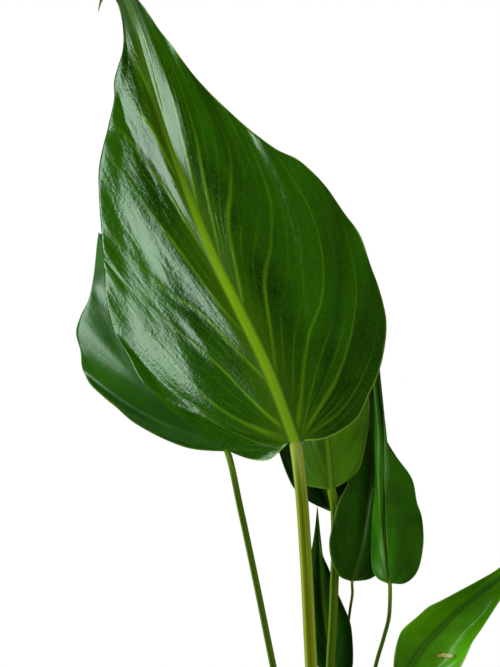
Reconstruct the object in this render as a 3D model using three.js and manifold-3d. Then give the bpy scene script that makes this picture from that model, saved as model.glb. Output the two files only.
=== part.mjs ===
// Potted flame monstera: a young plant with eight entire leaves, in a plain terracotta pot.
// Millimetres, +Z up. The leaves face -Y, and +X is to the right as they are looked at.
// The origin is the centre of the pot's flat underside.
import * as THREE from "three";
import { mergeVertices } from "three/addons/utils/BufferGeometryUtils.js";
import Module from "manifold-3d";

const wasm = await Module();
wasm.setup();

// Pot
const POT_HEIGHT = 125;
const RIM_RADIUS = 70;
const BASE_RADIUS = 46;
const WALL = 6;
const FLOOR = 8;
const COLLAR_HEIGHT = 28;
const COLLAR_STEP = 3.5;
const EDGE_ROUND = 1.6;
const POT_SEGMENTS = 44;
const DRAIN_HOLES = 3;
const DRAIN_RADIUS = 4.5;
const DRAIN_CIRCLE = 24;
const DRAIN_SEGMENTS = 16;

// Soil
const SOIL_LEVEL = 108;
const SOIL_RELIEF = 1.3;
const SOIL_SEGMENTS = 32;
const SOIL_RINGS = 6;
const GAP = 0.3; // between pieces that touch

// Stem
const STEM_RADIUS = 9;
const STEM_TOP = 125;
const STEM_FOOT = 84;
const STEM_SEGMENTS = 20;
const FIRST_SCAR = 106; // height of the lowest ring that an old leaf left
const SCAR_SPACING = 5;
const SCAR_DEPTH = 0.5;
const STEM_ROUND = 4; // rounding of the stem's top
const ROUND_STEPS = 3;

// Leaves
const BLADE_THICKNESS = 0.8;
const PETIOLE_SIDES = 8;
const PETIOLE_STEPS = 16;
const GROOVE_DEPTH = 0.28; // of the groove along a stalk's front, as a share of its radius
const ROOT_DROP = 4; // a stalk starts this far below its node, inside the stem
const SHOULDER_RISE = 5; // and turns upwards this far above it
const MERGE = 1e-3; // corners closer than this are one

const colours = {
  terracotta: { color: 0xb4694a, roughness: 0.85 },
  soil: { color: 0x2d2119, roughness: 0.95 },
  stem: { color: 0x66712a, roughness: 0.55 },
  petiole: { color: 0x7d8a2c, roughness: 0.45 },
  blade: { color: 0x275c0c, roughness: 0.3 },
};
const materials = Object.fromEntries(
  Object.entries(colours).map(([name, look]) => [
    name,
    new THREE.MeshStandardMaterial({ ...look, metalness: 0, name }),
  ]),
);

const plant = new THREE.Group();

function addMesh(name, geometry, material) {
  const mesh = new THREE.Mesh(geometry, material);
  mesh.name = name;
  plant.add(mesh);
}

const vector = ([x, y, z]) => new THREE.Vector3(x, y, z);
const smooth = (edge, t) => THREE.MathUtils.smoothstep(t, 0, edge);

// Closed solids

function toSolid(geometry) {
  const bare = geometry.clone();
  bare.deleteAttribute("normal");
  bare.deleteAttribute("uv");
  const merged = mergeVertices(bare, MERGE);
  return new wasm.Manifold(
    new wasm.Mesh({
      numProp: 3,
      vertProperties: new Float32Array(merged.attributes.position.array),
      triVerts: new Uint32Array(merged.index.array),
    }),
  );
}

function toGeometry(solid) {
  const mesh = solid.getMesh();
  const geometry = new THREE.BufferGeometry();
  geometry.setAttribute(
    "position",
    new THREE.BufferAttribute(new Float32Array(mesh.vertProperties), 3),
  );
  geometry.setIndex(new THREE.BufferAttribute(new Uint32Array(mesh.triVerts), 1));
  geometry.computeVertexNormals();
  return geometry;
}

// A profile of [radius, height] points, from the axis back to the axis, turned about +Z.
function turned(profile, segments) {
  const points = profile.map(([radius, height]) => new THREE.Vector2(radius, height));
  return new THREE.LatheGeometry(points, segments).rotateX(Math.PI / 2);
}

// A geometry from corner points and triangles, without the triangles that have shrunk to a line.
function fromTriangles(points, triangles) {
  const whole = triangles.filter(([a, b, c]) => a !== b && b !== c && c !== a);
  const geometry = new THREE.BufferGeometry().setFromPoints(points);
  geometry.setIndex(whole.flat());
  geometry.computeVertexNormals();
  return geometry;
}

// Pot

function wallRadius(height) {
  return BASE_RADIUS + ((RIM_RADIUS - COLLAR_STEP - BASE_RADIUS) * height) / POT_HEIGHT;
}

function pot() {
  const collarFoot = POT_HEIGHT - COLLAR_HEIGHT;
  const inner = (height) => wallRadius(height) - WALL;
  const shell = toSolid(
    turned(
      [
        [0, 0],
        [BASE_RADIUS - EDGE_ROUND, 0],
        [BASE_RADIUS, EDGE_ROUND],
        [wallRadius(collarFoot), collarFoot],
        [RIM_RADIUS - 2 * EDGE_ROUND, collarFoot],
        [RIM_RADIUS - EDGE_ROUND, collarFoot + EDGE_ROUND],
        [RIM_RADIUS, POT_HEIGHT - 2 * EDGE_ROUND],
        [RIM_RADIUS - EDGE_ROUND, POT_HEIGHT - EDGE_ROUND / 4],
        [RIM_RADIUS - 2 * EDGE_ROUND, POT_HEIGHT],
        [inner(POT_HEIGHT) + EDGE_ROUND, POT_HEIGHT],
        [inner(POT_HEIGHT), POT_HEIGHT - EDGE_ROUND],
        [inner(FLOOR), FLOOR],
        [0, FLOOR],
      ],
      POT_SEGMENTS,
    ),
  );
  let drained = shell;
  for (let i = 0; i < DRAIN_HOLES; i++) {
    const angle = Math.PI / 2 + (i * 2 * Math.PI) / DRAIN_HOLES;
    const hole = new THREE.CylinderGeometry(DRAIN_RADIUS, DRAIN_RADIUS, 3 * FLOOR, DRAIN_SEGMENTS)
      .rotateX(Math.PI / 2)
      .translate(DRAIN_CIRCLE * Math.cos(angle), DRAIN_CIRCLE * Math.sin(angle), 0);
    drained = drained.subtract(toSolid(hole));
  }
  addMesh("pot", toGeometry(drained), materials.terracotta);
}

// Soil: it fills the pot, crumbly on top, with a plain hole for the stem.

function soil() {
  const reach = (height) => wallRadius(height) - WALL - GAP;
  const holeRadius = STEM_RADIUS + GAP;
  const profile = [
    [0, STEM_FOOT - GAP],
    [holeRadius, STEM_FOOT - GAP],
  ];
  for (let i = 0; i <= SOIL_RINGS; i++) {
    const radius = THREE.MathUtils.lerp(holeRadius, reach(SOIL_LEVEL), i / SOIL_RINGS);
    profile.push([radius, SOIL_LEVEL]);
  }
  profile.push([reach(FLOOR + GAP), FLOOR + GAP], [0, FLOOR + GAP]);
  const geometry = turned(profile.reverse(), SOIL_SEGMENTS);
  const place = geometry.attributes.position;
  for (let i = 0; i < place.count; i++) {
    const [x, y, z] = [place.getX(i), place.getY(i), place.getZ(i)];
    if (Math.abs(z - SOIL_LEVEL) < MERGE) place.setZ(i, z + SOIL_RELIEF * lumps(x, y));
  }
  addMesh("soil", toGeometry(toSolid(geometry)), materials.soil);
}

// The uneven top, from -1 to 1: three crossing waves, about 23, 12 and 9 mm long.
function lumps(x, y) {
  return (
    0.5 * Math.sin(0.21 * x + 1.3) * Math.cos(0.17 * y) +
    0.5 * Math.sin(0.43 * y - 0.31 * x) +
    0.4 * Math.cos(0.57 * x + 0.39 * y)
  );
}

// Stem: the short upright stock in the soil that carries the leaf stalks, ringed by old leaf scars.

function stemProfile(grown) {
  const radius = STEM_RADIUS + grown;
  const shoulder = STEM_TOP - STEM_ROUND;
  const profile = [
    [0, STEM_FOOT],
    [radius, STEM_FOOT],
  ];
  for (let height = FIRST_SCAR; height < shoulder; height += SCAR_SPACING) {
    profile.push([radius, height], [radius - SCAR_DEPTH, height + SCAR_SPACING / 2]);
  }
  for (let i = 0; i <= ROUND_STEPS; i++) {
    const turn = (i / ROUND_STEPS) * (Math.PI / 2);
    const inward = STEM_ROUND * (1 - Math.cos(turn));
    profile.push([radius - SCAR_DEPTH - inward, shoulder + STEM_ROUND * Math.sin(turn) + grown]);
  }
  profile.push([0, STEM_TOP + grown]);
  return profile;
}

function stem() {
  addMesh("stem", toGeometry(toSolid(turned(stemProfile(0), STEM_SEGMENTS))), materials.stem);
}

// Leaves

// Each leaf is laid out by three guide curves, in millimetres from the origin: the midrib from the
// stalk to the tip, and the left and right margins between those two ends, as the leaf is looked
// at from the front.
// petioleWidth is the stalk's width under the blade, and footWidth its width at the stem.
// node is where the stalk leaves the stem: its direction about +Z in degrees, and its height.
// stalk lists the points that the stalk passes on its way up.
// dome is how far the left and the right half swell forward, as a share of their length.
// bow is how far a vein bends away from its straight line, as a share of it.
// fan is the share of each margin whose veins all spring from the stalk: left, then right.
// rows is the number of steps from the stalk to the tip, and panels the number of swellings.
// quilt is the height of those on the left and on the right half, reached at the row calm.
const leaves = [
  {
    name: "leaf_1",
    midrib: [
      [-13.5, -50, 308.5], [-24, -48, 336.5], [-35.5, -43, 360.5], [-45.5, -37, 381],
      [-56, -30, 406.5], [-65.5, -22, 432.5], [-73, -14, 457], [-80.5, -6, 483],
      [-84.5, -3, 494], [-88.5, -1, 498.5], [-93, 1, 495.5], [-95.5, 4, 487.5],
    ],
    left: [
      [-19, -48, 305], [-24, -45, 301], [-31, -41, 301], [-39.5, -38, 304], [-52, -34, 311],
      [-64.5, -32, 321.5], [-75, -30.5, 331.5], [-82, -26, 344], [-88, -22, 354.5],
      [-91, -21, 368.5], [-92, -20, 384.5], [-94, -16, 409.5], [-94, -14, 421.5],
      [-90.5, -12, 437.5], [-88, -10, 449.5], [-88, -8, 457.5], [-84.5, -7, 470.5],
      [-85, -5, 483], [-87.5, -3, 491.5], [-90.5, 0, 495], [-93.2, 2, 493],
    ],
    right: [
      [-2, -49, 309.5], [5, -47, 312.5], [12, -45, 318], [16.5, -43, 327], [21, -41, 337],
      [24, -38, 355.5], [21.5, -38, 368.5], [17.5, -39.5, 379.5], [13, -37.5, 392.5],
      [7, -35, 401], [-1.5, -35, 413], [-12, -33.5, 423], [-20, -30.5, 427], [-29.5, -27, 434],
      [-39.5, -22.5, 443], [-50.5, -18.5, 454], [-56.5, -17.5, 461], [-63.5, -14.5, 471],
      [-70, -10, 479.5], [-75.5, -7, 488], [-79, -5.5, 492.5], [-83.5, -3, 499],
      [-88.5, 0, 501.5], [-93, 2, 498],
    ],
    petioleWidth: 5,
    footWidth: 6,
    node: [265, 119],
    stalk: [
      [-3, -16, 158.5], [-6.5, -31, 217], [-9, -42, 263.5], [-11, -47, 290],
    ],
    dome: [0, 0.02],
    bow: 0.2,
    fan: [0.45, 0.58],
    rows: 42,
    panels: 7,
    quilt: [1.2, 0],
    calm: 0.65,
  },
  {
    name: "leaf_2",
    midrib: [
      [-41.5, 34, 301.5], [-60, 34, 326.5], [-77, 37, 355.5], [-91, 42, 380.5],
      [-97.5, 46, 396],
    ],
    left: [
      [-51.5, 35.5, 301.5], [-58.5, 36.5, 302.5], [-67, 38.5, 305.5], [-75.5, 41, 309.5],
      [-83, 43, 314], [-90, 45.5, 320], [-96, 47.5, 325], [-101.5, 49.5, 330], [-105, 52, 337],
      [-105.5, 49.5, 344], [-107.5, 49.5, 352.5], [-105.5, 48, 359.5], [-102, 47, 366.5],
      [-100, 49, 376], [-99, 49, 384], [-98.3, 47.5, 391],
    ],
    right: [
      [-36.5, 38, 314.5], [-37, 42, 332], [-44.5, 45, 349], [-57.5, 47, 366.5], [-75, 48, 383],
      [-90.5, 47, 391.5],
    ],
    petioleWidth: 2.8,
    footWidth: 3.6,
    node: [172, 116],
    stalk: [
      [-10, 9, 154.5], [-21.5, 19, 209.5], [-29, 26, 246], [-35.5, 31, 276],
    ],
    dome: [0, 0],
    bow: 0.2,
    fan: [0.5, 0.4],
    rows: 24,
    panels: 4,
    quilt: [2.2, 0.5],
    calm: 0.2,
  },
  {
    name: "leaf_3",
    midrib: [
      [3, 12, 286.5], [2, 12, 298.5], [1, 14, 311], [2, 18, 328], [4.5, 24, 351.5],
    ],
    left: [
      [-4, 13, 287], [-9, 14, 288], [-11.5, 15, 293], [-12, 16, 301.5], [-10, 17, 313],
      [-6, 20, 328], [-0.5, 23, 343],
    ],
    right: [
      [9, 12, 289], [14.5, 12, 294], [16.5, 12.5, 300], [18, 13, 307.5], [19, 14, 314.5],
      [19, 15, 324.5], [17, 18, 334.5], [12, 22, 343.5],
    ],
    petioleWidth: 3.8,
    footWidth: 4.4,
    node: [33, 119],
    stalk: [
      [3, 6, 150], [2, 7, 172], [2.5, 9, 211], [3.5, 12, 226], [4, 14, 236.5],
      [4.5, 18.5, 247], [5, 20.5, 257.5], [5, 20, 269], [4.5, 17.5, 278.5],
    ],
    dome: [0.05, 0.05],
    bow: 0.2,
    fan: [0.5, 0.5],
    rows: 15,
    panels: 7.5,
    quilt: [0.7, 0.7],
    calm: 0.2,
  },
  {
    name: "leaf_4",
    midrib: [
      [27.5, 6, 246.5], [25.5, 6, 256.5], [25.5, 7, 273], [26, 8, 283],
      [27, 9, 292.5], [26, 12, 305.5], [24, 15, 319.5], [22.5, 20, 338.5],
      [18.5, 28, 363.5],
    ],
    left: [
      [22.5, 9, 248.5], [20.5, 11, 252], [20, 12.5, 260], [20.5, 13.5, 273], [21.5, 15, 285.5],
      [21.5, 16, 298], [21, 17, 311], [20.5, 19, 323.5], [19.5, 22, 340.5],
    ],
    right: [
      [34, 8, 246.5], [39, 11, 250.5], [42, 14, 261.5], [41.5, 15, 274], [39.5, 15, 280],
      [37.5, 17, 290], [30.5, 17, 300], [26, 17, 308], [24, 18, 317], [24, 20, 328.5],
      [23.5, 23, 340.5], [22, 26, 352.5],
    ],
    petioleWidth: 1.7,
    footWidth: 3,
    node: [352, 116],
    stalk: [
      [12, 5, 160], [21.5, 8, 211], [25, 7, 223.5], [27, 6, 231.5], [27.5, 6, 237],
    ],
    dome: [0.1, 0.1],
    bow: 0,
    fan: [0.4, 0.4],
    rows: 18,
    panels: 6,
    quilt: [0.7, 0.7],
    calm: 0.2,
  },
  {
    name: "leaf_5",
    midrib: [
      [12, 17, 246.5], [15.5, 17, 258], [18.5, 19, 276.5], [20, 21, 288.5],
      [21, 23, 304.5], [20.5, 26, 323.5], [14, 33, 353.5],
    ],
    left: [
      [6, 12, 249.5], [3, 10, 256], [2, 9, 263.5], [3, 10, 269], [4, 11.5, 273.5],
      [6.3, 13, 281], [9.8, 16, 287.5], [12.5, 20.5, 298], [14.5, 24, 310.5], [15, 28, 325.5],
      [14, 31, 340.5],
    ],
    right: [
      [20, 19, 247.5], [24.5, 22, 251], [27, 25, 260], [28, 27, 272], [28.5, 29, 285.5],
      [27.5, 30, 299.5], [24.5, 31, 317], [23.5, 33, 332], [20.5, 34, 345],
    ],
    petioleWidth: 1.2,
    footWidth: 2.6,
    node: [62, 117],
    stalk: [
      [5, 18, 166], [8.5, 30, 208.5], [10.5, 31, 224.5], [11.5, 27.5, 233.5],
      [12.3, 22, 241],
    ],
    dome: [0.08, 0.08],
    bow: 0.2,
    fan: [0.4, 0.4],
    rows: 18,
    panels: 6,
    quilt: [0.7, 0.7],
    calm: 0.2,
  },
  {
    name: "leaf_6",
    midrib: [
      [4.5, 17, 203.5], [2.5, 21, 216.5], [0, 25, 235.5], [-1.5, 28, 254.5],
      [-2.5, 31, 277.5],
    ],
    left: [
      [0, 19, 209], [-3, 22, 212], [-6.5, 25, 218.5], [-8.5, 27, 231], [-7.5, 29, 245],
      [-5, 30, 258.5], [-3.5, 31, 267.5],
    ],
    right: [
      [9.5, 18, 203], [12, 20, 208.5], [12.5, 21, 214.5], [11.5, 22, 227.5], [10, 23, 232],
      [6, 25, 241], [2.5, 27, 250.5], [-0.5, 28, 257.5], [-1.5, 30, 265.5],
    ],
    petioleWidth: 2,
    footWidth: 2.8,
    node: [93, 115],
    stalk: [
      [2.5, 13, 162.5], [4, 17, 191.5],
    ],
    dome: [0.08, 0.08],
    bow: 0.2,
    fan: [0.35, 0.35],
    rows: 15,
    panels: 5,
    quilt: [0.7, 0.7],
    calm: 0.2,
  },
  {
    name: "leaf_7",
    midrib: [
      [29.5, -30, 205], [34, -31, 215.5], [39, -32, 223.5], [46.5, -33, 232],
      [54, -34, 239.5], [62, -35, 246], [70.5, -36, 252.5], [77.5, -36, 259.5],
      [85, -34, 267.5],
    ],
    left: [
      [27.5, -33, 213.5], [28, -37, 222.5], [30, -40, 231], [36.5, -43, 237.5],
      [41, -44, 241.5], [46, -44, 244], [60, -44, 251.5], [70, -42, 257], [78, -39, 263],
    ],
    right: [
      [36, -32, 199.5], [43, -36, 201], [49, -38, 207], [54, -40, 216.5], [57, -41, 223],
      [58.5, -41, 226.5], [63, -40, 233], [70, -39, 243.5], [77.5, -38, 255],
    ],
    petioleWidth: 2.2,
    footWidth: 3,
    node: [315, 113],
    stalk: [
      [10, -13, 145.5], [17.5, -22, 174], [25, -28, 194.5],
    ],
    dome: [-0.06, -0.06],
    bow: 0.2,
    fan: [0.4, 0.45],
    rows: 18,
    panels: 6,
    quilt: [0.7, 0.7],
    calm: 0.2,
  },
  {
    name: "leaf_8",
    midrib: [
      [6.5, 34, 274.5], [1, 36, 288.5], [-5.5, 39, 306], [-11.5, 43, 323],
      [-16.5, 47, 340.5], [-20.5, 52, 357],
    ],
    left: [
      [1.5, 35, 276.5], [-2, 36, 277.5], [-7, 38, 280], [-12.5, 40, 285], [-15.5, 42, 291],
      [-18.5, 44, 299.5], [-21.5, 46, 312], [-24.5, 49, 327.5], [-24.5, 51, 342.5],
    ],
    right: [
      [11, 36, 278], [12, 38, 285], [10, 40, 297], [7, 42, 310], [2, 45, 323], [-5.5, 48, 336],
      [-12, 50, 347],
    ],
    petioleWidth: 2.6,
    footWidth: 3.4,
    node: [126, 118],
    stalk: [
      [1, 22, 161], [3.5, 36, 207.5], [4.5, 39, 227], [5.5, 39.5, 240.5],
      [6, 37.5, 260.5],
    ],
    dome: [0.05, 0.05],
    bow: 0.2,
    fan: [0.5, 0.4],
    rows: 15,
    panels: 5,
    quilt: [0.7, 0.7],
    calm: 0.2,
  },
];

// How the blade is divided
const FAN_ROWS = 0.42; // share of the rows that start at the stalk
const VEIN_CROWDING = 1.5; // the other veins start closer together near the stalk
const TIP_BOW = 0.4; // share of a vein's bow that is left at the tip
const COLUMNS = [0, 0.18, 0.4, 0.62, 0.83, 1]; // from the midrib's edge to the margin
const FULL_QUILT_LENGTH = 25; // shorter veins have less swelling between them
const FADE_ROWS = 0.2; // share of the rows over which the swelling grows to its height
const QUILT_SKEW = 0.8; // below 1, the swelling peaks on the midrib's side of the middle
const RIB_FADE = 1.3; // how fast the midrib thins towards the tip
const RIB_SHOULDER = 0.45; // its depth at its edges, as a share of its depth
const FOOT_TURN = 0.08; // share of the midrib in which its cross direction leaves the stalk's

// The direction across the stalk where it meets the blade, to the right in the front view.
function footAcross(leaf) {
  const run = vector(leaf.midrib[0]).sub(vector(leaf.stalk.at(-1)));
  return new THREE.Vector3(run.z, 0, -run.x).normalize();
}

// The edge of the midrib on one side, at the share q of its length.
function ribEdge(leaf, midrib, side, q) {
  const along = midrib.getTangentAt(q);
  const across = new THREE.Vector3(along.z, 0, -along.x).normalize();
  const turn = THREE.MathUtils.smoothstep(q, 0, FOOT_TURN);
  const direction = footAcross(leaf).lerp(across, turn).normalize();
  return midrib.getPointAt(q).addScaledVector(direction, (side * leaf.petioleWidth * (1 - q)) / 2);
}

// The guide curves of one leaf: its midrib, and its margins from the stalk's edges to the tip.
function guideCurves(leaf) {
  const midrib = new THREE.CatmullRomCurve3(leaf.midrib.map(vector));
  const tip = vector(leaf.midrib.at(-1));
  const margin = (side, points) =>
    new THREE.CatmullRomCurve3([ribEdge(leaf, midrib, side, 0), ...points.map(vector), tip]);
  return { midrib, left: margin(-1, leaf.left), right: margin(1, leaf.right) };
}

// Where row t starts on the midrib and ends on its margin, as shares of those two curves.
function rowEnds(t, fan) {
  const past = Math.max(0, (t - FAN_ROWS) / (1 - FAN_ROWS));
  const within = Math.min(1, t / FAN_ROWS);
  return { start: past ** VEIN_CROWDING, end: fan * within + (1 - fan) * past };
}

// One row of the blade's middle surface, from the midrib to the margin along a curved vein.
// t runs from 0 at the stalk to 1 at the tip.
function bladeRow(leaf, curves, side, t) {
  const half = side < 0 ? 0 : 1;
  const { start, end } = rowEnds(t, leaf.fan[half]);
  const from = ribEdge(leaf, curves.midrib, side, start);
  const to = (side < 0 ? curves.left : curves.right).getPointAt(end);
  const run = to.clone().sub(from);
  const length = Math.hypot(run.x, run.z);
  const bow = leaf.bow * smooth(FAN_ROWS, t) * THREE.MathUtils.lerp(1, TIP_BOW, smooth(1, t));
  const control = from.clone().add(to).multiplyScalar(0.5);
  control.x += bow * side * run.z;
  control.z -= bow * side * run.x;
  control.y -= 2 * leaf.dome[half] * length;
  const grown = THREE.MathUtils.smoothstep(t, leaf.calm - FADE_ROWS, leaf.calm);
  const swell = (grown * (1 - Math.cos(2 * Math.PI * leaf.panels * t))) / 2;
  const height = leaf.quilt[half] * Math.min(1, length / FULL_QUILT_LENGTH) * swell;
  const row = COLUMNS.map((w) => {
    const point = from
      .clone()
      .multiplyScalar((1 - w) ** 2)
      .addScaledVector(control, 2 * w * (1 - w))
      .addScaledVector(to, w * w);
    point.y -= height * Math.sin(Math.PI * w ** QUILT_SKEW);
    return point;
  });
  return [curves.midrib.getPointAt(start), ...row];
}

function bladeGeometry(leaf, curves) {
  const points = [];
  const ribDepths = [];
  const triangles = [];
  const indexOf = new Map();
  const add = (point, depth) => {
    const key = point.toArray().map((v) => Math.round(v / MERGE)).join();
    if (!indexOf.has(key)) {
      indexOf.set(key, points.length);
      points.push(point);
      ribDepths.push(depth);
    }
    return indexOf.get(key);
  };
  const rims = [];
  for (const side of [-1, 1]) {
    const rows = [];
    for (let i = 0; i <= leaf.rows; i++) {
      const t = i / leaf.rows;
      const { start } = rowEnds(t, 0);
      const depth = (leaf.petioleWidth - BLADE_THICKNESS) * (1 - start) ** RIB_FADE;
      const depths = [depth, RIB_SHOULDER * depth];
      rows.push(bladeRow(leaf, curves, side, t).map((point, j) => add(point, depths[j] ?? 0)));
    }
    for (let i = 0; i < leaf.rows; i++) {
      for (let j = 0; j < COLUMNS.length; j++) {
        const [a, b, c, d] = [rows[i][j], rows[i][j + 1], rows[i + 1][j + 1], rows[i + 1][j]];
        if (side > 0) triangles.push([a, b, c], [a, c, d]);
        else triangles.push([a, c, b], [a, d, c]);
      }
    }
    rims.push([...rows[0].slice(0, 2), ...rows.slice(1).map((row) => row.at(-1))]);
  }
  const [leftRim, rightRim] = rims;
  const rim = [...rightRim, ...leftRim.slice(1, -1).reverse()];
  return thickened(points, ribDepths, triangles, rim);
}

// Both faces of the blade, alike, with the midrib standing out behind, and the edge between them.
function thickened(points, ribDepths, triangles, rim) {
  const count = points.length;
  const half = BLADE_THICKNESS / 2;
  const normals = fromTriangles(points, triangles).attributes.normal;
  const front = [];
  const back = [];
  points.forEach((point, i) => {
    const normal = new THREE.Vector3().fromBufferAttribute(normals, i);
    front.push(point.clone().addScaledVector(normal, half));
    back.push(point.clone().addScaledVector(normal, -half));
    back[i].y += ribDepths[i];
  });
  const faces = [];
  for (const [a, b, c] of triangles) {
    faces.push([a, b, c], [count + a, count + c, count + b]);
  }
  rim.forEach((a, i) => {
    const b = rim[(i + 1) % rim.length];
    faces.push([a, count + b, b], [a, count + a, count + b]);
  });
  return fromTriangles([...front, ...back], faces);
}

// The room above the blade's foot, which the stalk keeps out of.
function bladeRoom(leaf) {
  const size = 4 * leaf.petioleWidth;
  const across = footAcross(leaf);
  return toSolid(
    new THREE.BoxGeometry(size, size, size)
      .translate(0, 0, size / 2 - GAP)
      .rotateY(-Math.atan2(across.z, across.x))
      .translate(...leaf.midrib[0]),
  );
}

// A leaf stalk: it springs from the stem, is grooved in front, and ends where the midrib begins.
function petioleGeometry(leaf, keepOut) {
  const [degrees, height] = leaf.node;
  const angle = THREE.MathUtils.degToRad(degrees);
  const outward = new THREE.Vector3(Math.cos(angle), Math.sin(angle), 0);
  const root = outward.clone().multiplyScalar(STEM_RADIUS / 2).setZ(height - ROOT_DROP);
  const shoulder = outward
    .clone()
    .multiplyScalar(STEM_RADIUS + leaf.footWidth / 2)
    .setZ(height + SHOULDER_RISE);
  const top = vector(leaf.midrib[0]);
  top.y += (leaf.petioleWidth - BLADE_THICKNESS) / 2;
  const last = vector(leaf.stalk.at(-1));
  top.addScaledVector(top.clone().sub(last).normalize(), leaf.petioleWidth / 2);
  const path = new THREE.CatmullRomCurve3([root, shoulder, ...leaf.stalk.map(vector), top]);
  const points = [];
  for (let i = 0; i <= PETIOLE_STEPS; i++) {
    const u = i / PETIOLE_STEPS;
    const centre = path.getPointAt(u);
    const along = path.getTangentAt(u);
    const across = along.clone().cross(new THREE.Vector3(0, -1, 0)).normalize();
    const facing = across.clone().cross(along).normalize();
    const foot = (1 - u) ** 3;
    const radius = THREE.MathUtils.lerp(leaf.petioleWidth, leaf.footWidth, foot) / 2;
    for (let k = 0; k < PETIOLE_SIDES; k++) {
      const turn = (2 * Math.PI * k) / PETIOLE_SIDES;
      const reach = k === 0 ? radius * (1 - GROOVE_DEPTH) : radius;
      points.push(
        centre
          .clone()
          .addScaledVector(facing, reach * Math.cos(turn))
          .addScaledVector(across, reach * Math.sin(turn)),
      );
    }
  }
  const triangles = [];
  for (let i = 0; i < PETIOLE_STEPS; i++) {
    for (let k = 0; k < PETIOLE_SIDES; k++) {
      const next = (k + 1) % PETIOLE_SIDES;
      const [a, b] = [i * PETIOLE_SIDES + k, i * PETIOLE_SIDES + next];
      triangles.push([a, b, b + PETIOLE_SIDES], [a, b + PETIOLE_SIDES, a + PETIOLE_SIDES]);
    }
  }
  const lid = PETIOLE_STEPS * PETIOLE_SIDES;
  for (let k = 1; k < PETIOLE_SIDES - 1; k++) {
    triangles.push([0, k + 1, k], [lid, lid + k, lid + k + 1]);
  }
  return toGeometry(toSolid(fromTriangles(points, triangles)).subtract(keepOut));
}

function leafPieces() {
  const stemRoom = toSolid(turned(stemProfile(GAP), STEM_SEGMENTS));
  for (const leaf of leaves) {
    const keepOut = bladeRoom(leaf).add(stemRoom);
    addMesh(leaf.name + "_petiole", petioleGeometry(leaf, keepOut), materials.petiole);
    addMesh(leaf.name + "_blade", bladeGeometry(leaf, guideCurves(leaf)), materials.blade);
  }
}

pot();
soil();
stem();
leafPieces();

export default plant;
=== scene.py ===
# %% [markdown]
# A potted flame monstera
#
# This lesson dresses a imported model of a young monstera: eight glossy leaves on long grooved
# stalks, a short stem, soil and a plain terracotta pot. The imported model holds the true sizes.
# Every piece made here is in the same frame, so nothing is moved to fit. Lengths are written in
# millimetres, because a grower would measure a leaf that way, and each mesh is scaled to metres
# once, when it is made.

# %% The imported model
import math

import bmesh
import bpy
import numpy as np
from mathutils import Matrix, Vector


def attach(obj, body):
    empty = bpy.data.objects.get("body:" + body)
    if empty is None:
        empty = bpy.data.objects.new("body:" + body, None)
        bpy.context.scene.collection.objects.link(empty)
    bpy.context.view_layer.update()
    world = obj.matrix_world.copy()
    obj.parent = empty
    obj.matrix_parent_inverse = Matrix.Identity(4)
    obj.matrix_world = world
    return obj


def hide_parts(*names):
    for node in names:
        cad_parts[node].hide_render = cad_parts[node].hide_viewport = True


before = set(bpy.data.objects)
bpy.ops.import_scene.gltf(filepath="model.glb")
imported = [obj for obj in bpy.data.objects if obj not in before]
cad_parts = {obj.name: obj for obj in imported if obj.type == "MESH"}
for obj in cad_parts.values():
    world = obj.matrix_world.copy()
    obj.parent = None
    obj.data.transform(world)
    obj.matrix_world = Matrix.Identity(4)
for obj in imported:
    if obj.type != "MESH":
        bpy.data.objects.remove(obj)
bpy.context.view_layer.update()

MM = 0.001

# %% [markdown]
# Camera
#
# The photograph looks straight at the plant from its front, level, with a long lens, and its lower
# edge cuts the stalks. A tilted camera could frame the same part, but then the stalks would lean
# together. A level camera at the height of the leaves needs neither tilt nor shift. Its lens
# follows from the height that the picture covers and from the camera's distance.

# %% Camera
VIEW_CENTRE = (-31.5, 352)  # X and Z that the middle of the picture looks at
VIEW_DISTANCE = 1200
VIEW_HEIGHT = 280.14  # what the picture covers from top to bottom at that distance
SENSOR = 36

camera_data = bpy.data.cameras.new("camera")
camera_data.sensor_width = SENSOR
camera_data.lens = SENSOR * VIEW_DISTANCE / VIEW_HEIGHT
camera = bpy.data.objects.new("camera", camera_data)
camera.location = Vector((VIEW_CENTRE[0], -VIEW_DISTANCE, VIEW_CENTRE[1])) * MM
camera.rotation_euler = (math.radians(90), 0, 0)
bpy.context.scene.collection.objects.link(camera)
bpy.context.scene.camera = camera
bpy.context.scene.view_settings.view_transform = "Standard"
print("lens, mm:", round(camera_data.lens, 1))

# %% [markdown]
# Window and fill lights
#
# The sheen lies only on what turns to the left: the pleats on the left half of the large leaf, and
# a strip beside its tip. What turns right or down is deep green without any grey. A picture of a
# room could light the plant, but one broad soft window at the left gives the same bands, and its
# size and place can be chosen until they fit. Two weaker boxes lighten the shadows. They are
# hidden from mirror-like rays, so they lay no second sheen on the leaves.

# %% Window and fill lights
LEAF_CENTRE = Vector((-40, -35, 380)) * MM
SKY = (0.77, 1.0, 0.84)
WHITE = (1, 1, 1)


def direction_to(left_degrees, up_degrees):
    """The way from the leaves to a light, turned left from the camera and raised."""
    left, up = math.radians(left_degrees), math.radians(up_degrees)
    return Vector((-math.sin(left) * math.cos(up), -math.cos(left) * math.cos(up), math.sin(up)))


def soft_box(name, left_degrees, up_degrees, distance, size, power, colour, sheen=True):
    """A rectangular area light that faces the large leaf, its sizes in metres."""
    data = bpy.data.lights.new(name, "AREA")
    data.shape = "RECTANGLE"
    data.size, data.size_y = size
    data.energy = power
    data.color = colour
    light = bpy.data.objects.new(name, data)
    towards = direction_to(left_degrees, up_degrees)
    light.location = LEAF_CENTRE + towards * distance
    light.rotation_euler = towards.to_track_quat("Z", "Y").to_euler()
    light.visible_glossy = sheen
    light.visible_camera = False
    bpy.context.scene.collection.objects.link(light)


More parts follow.
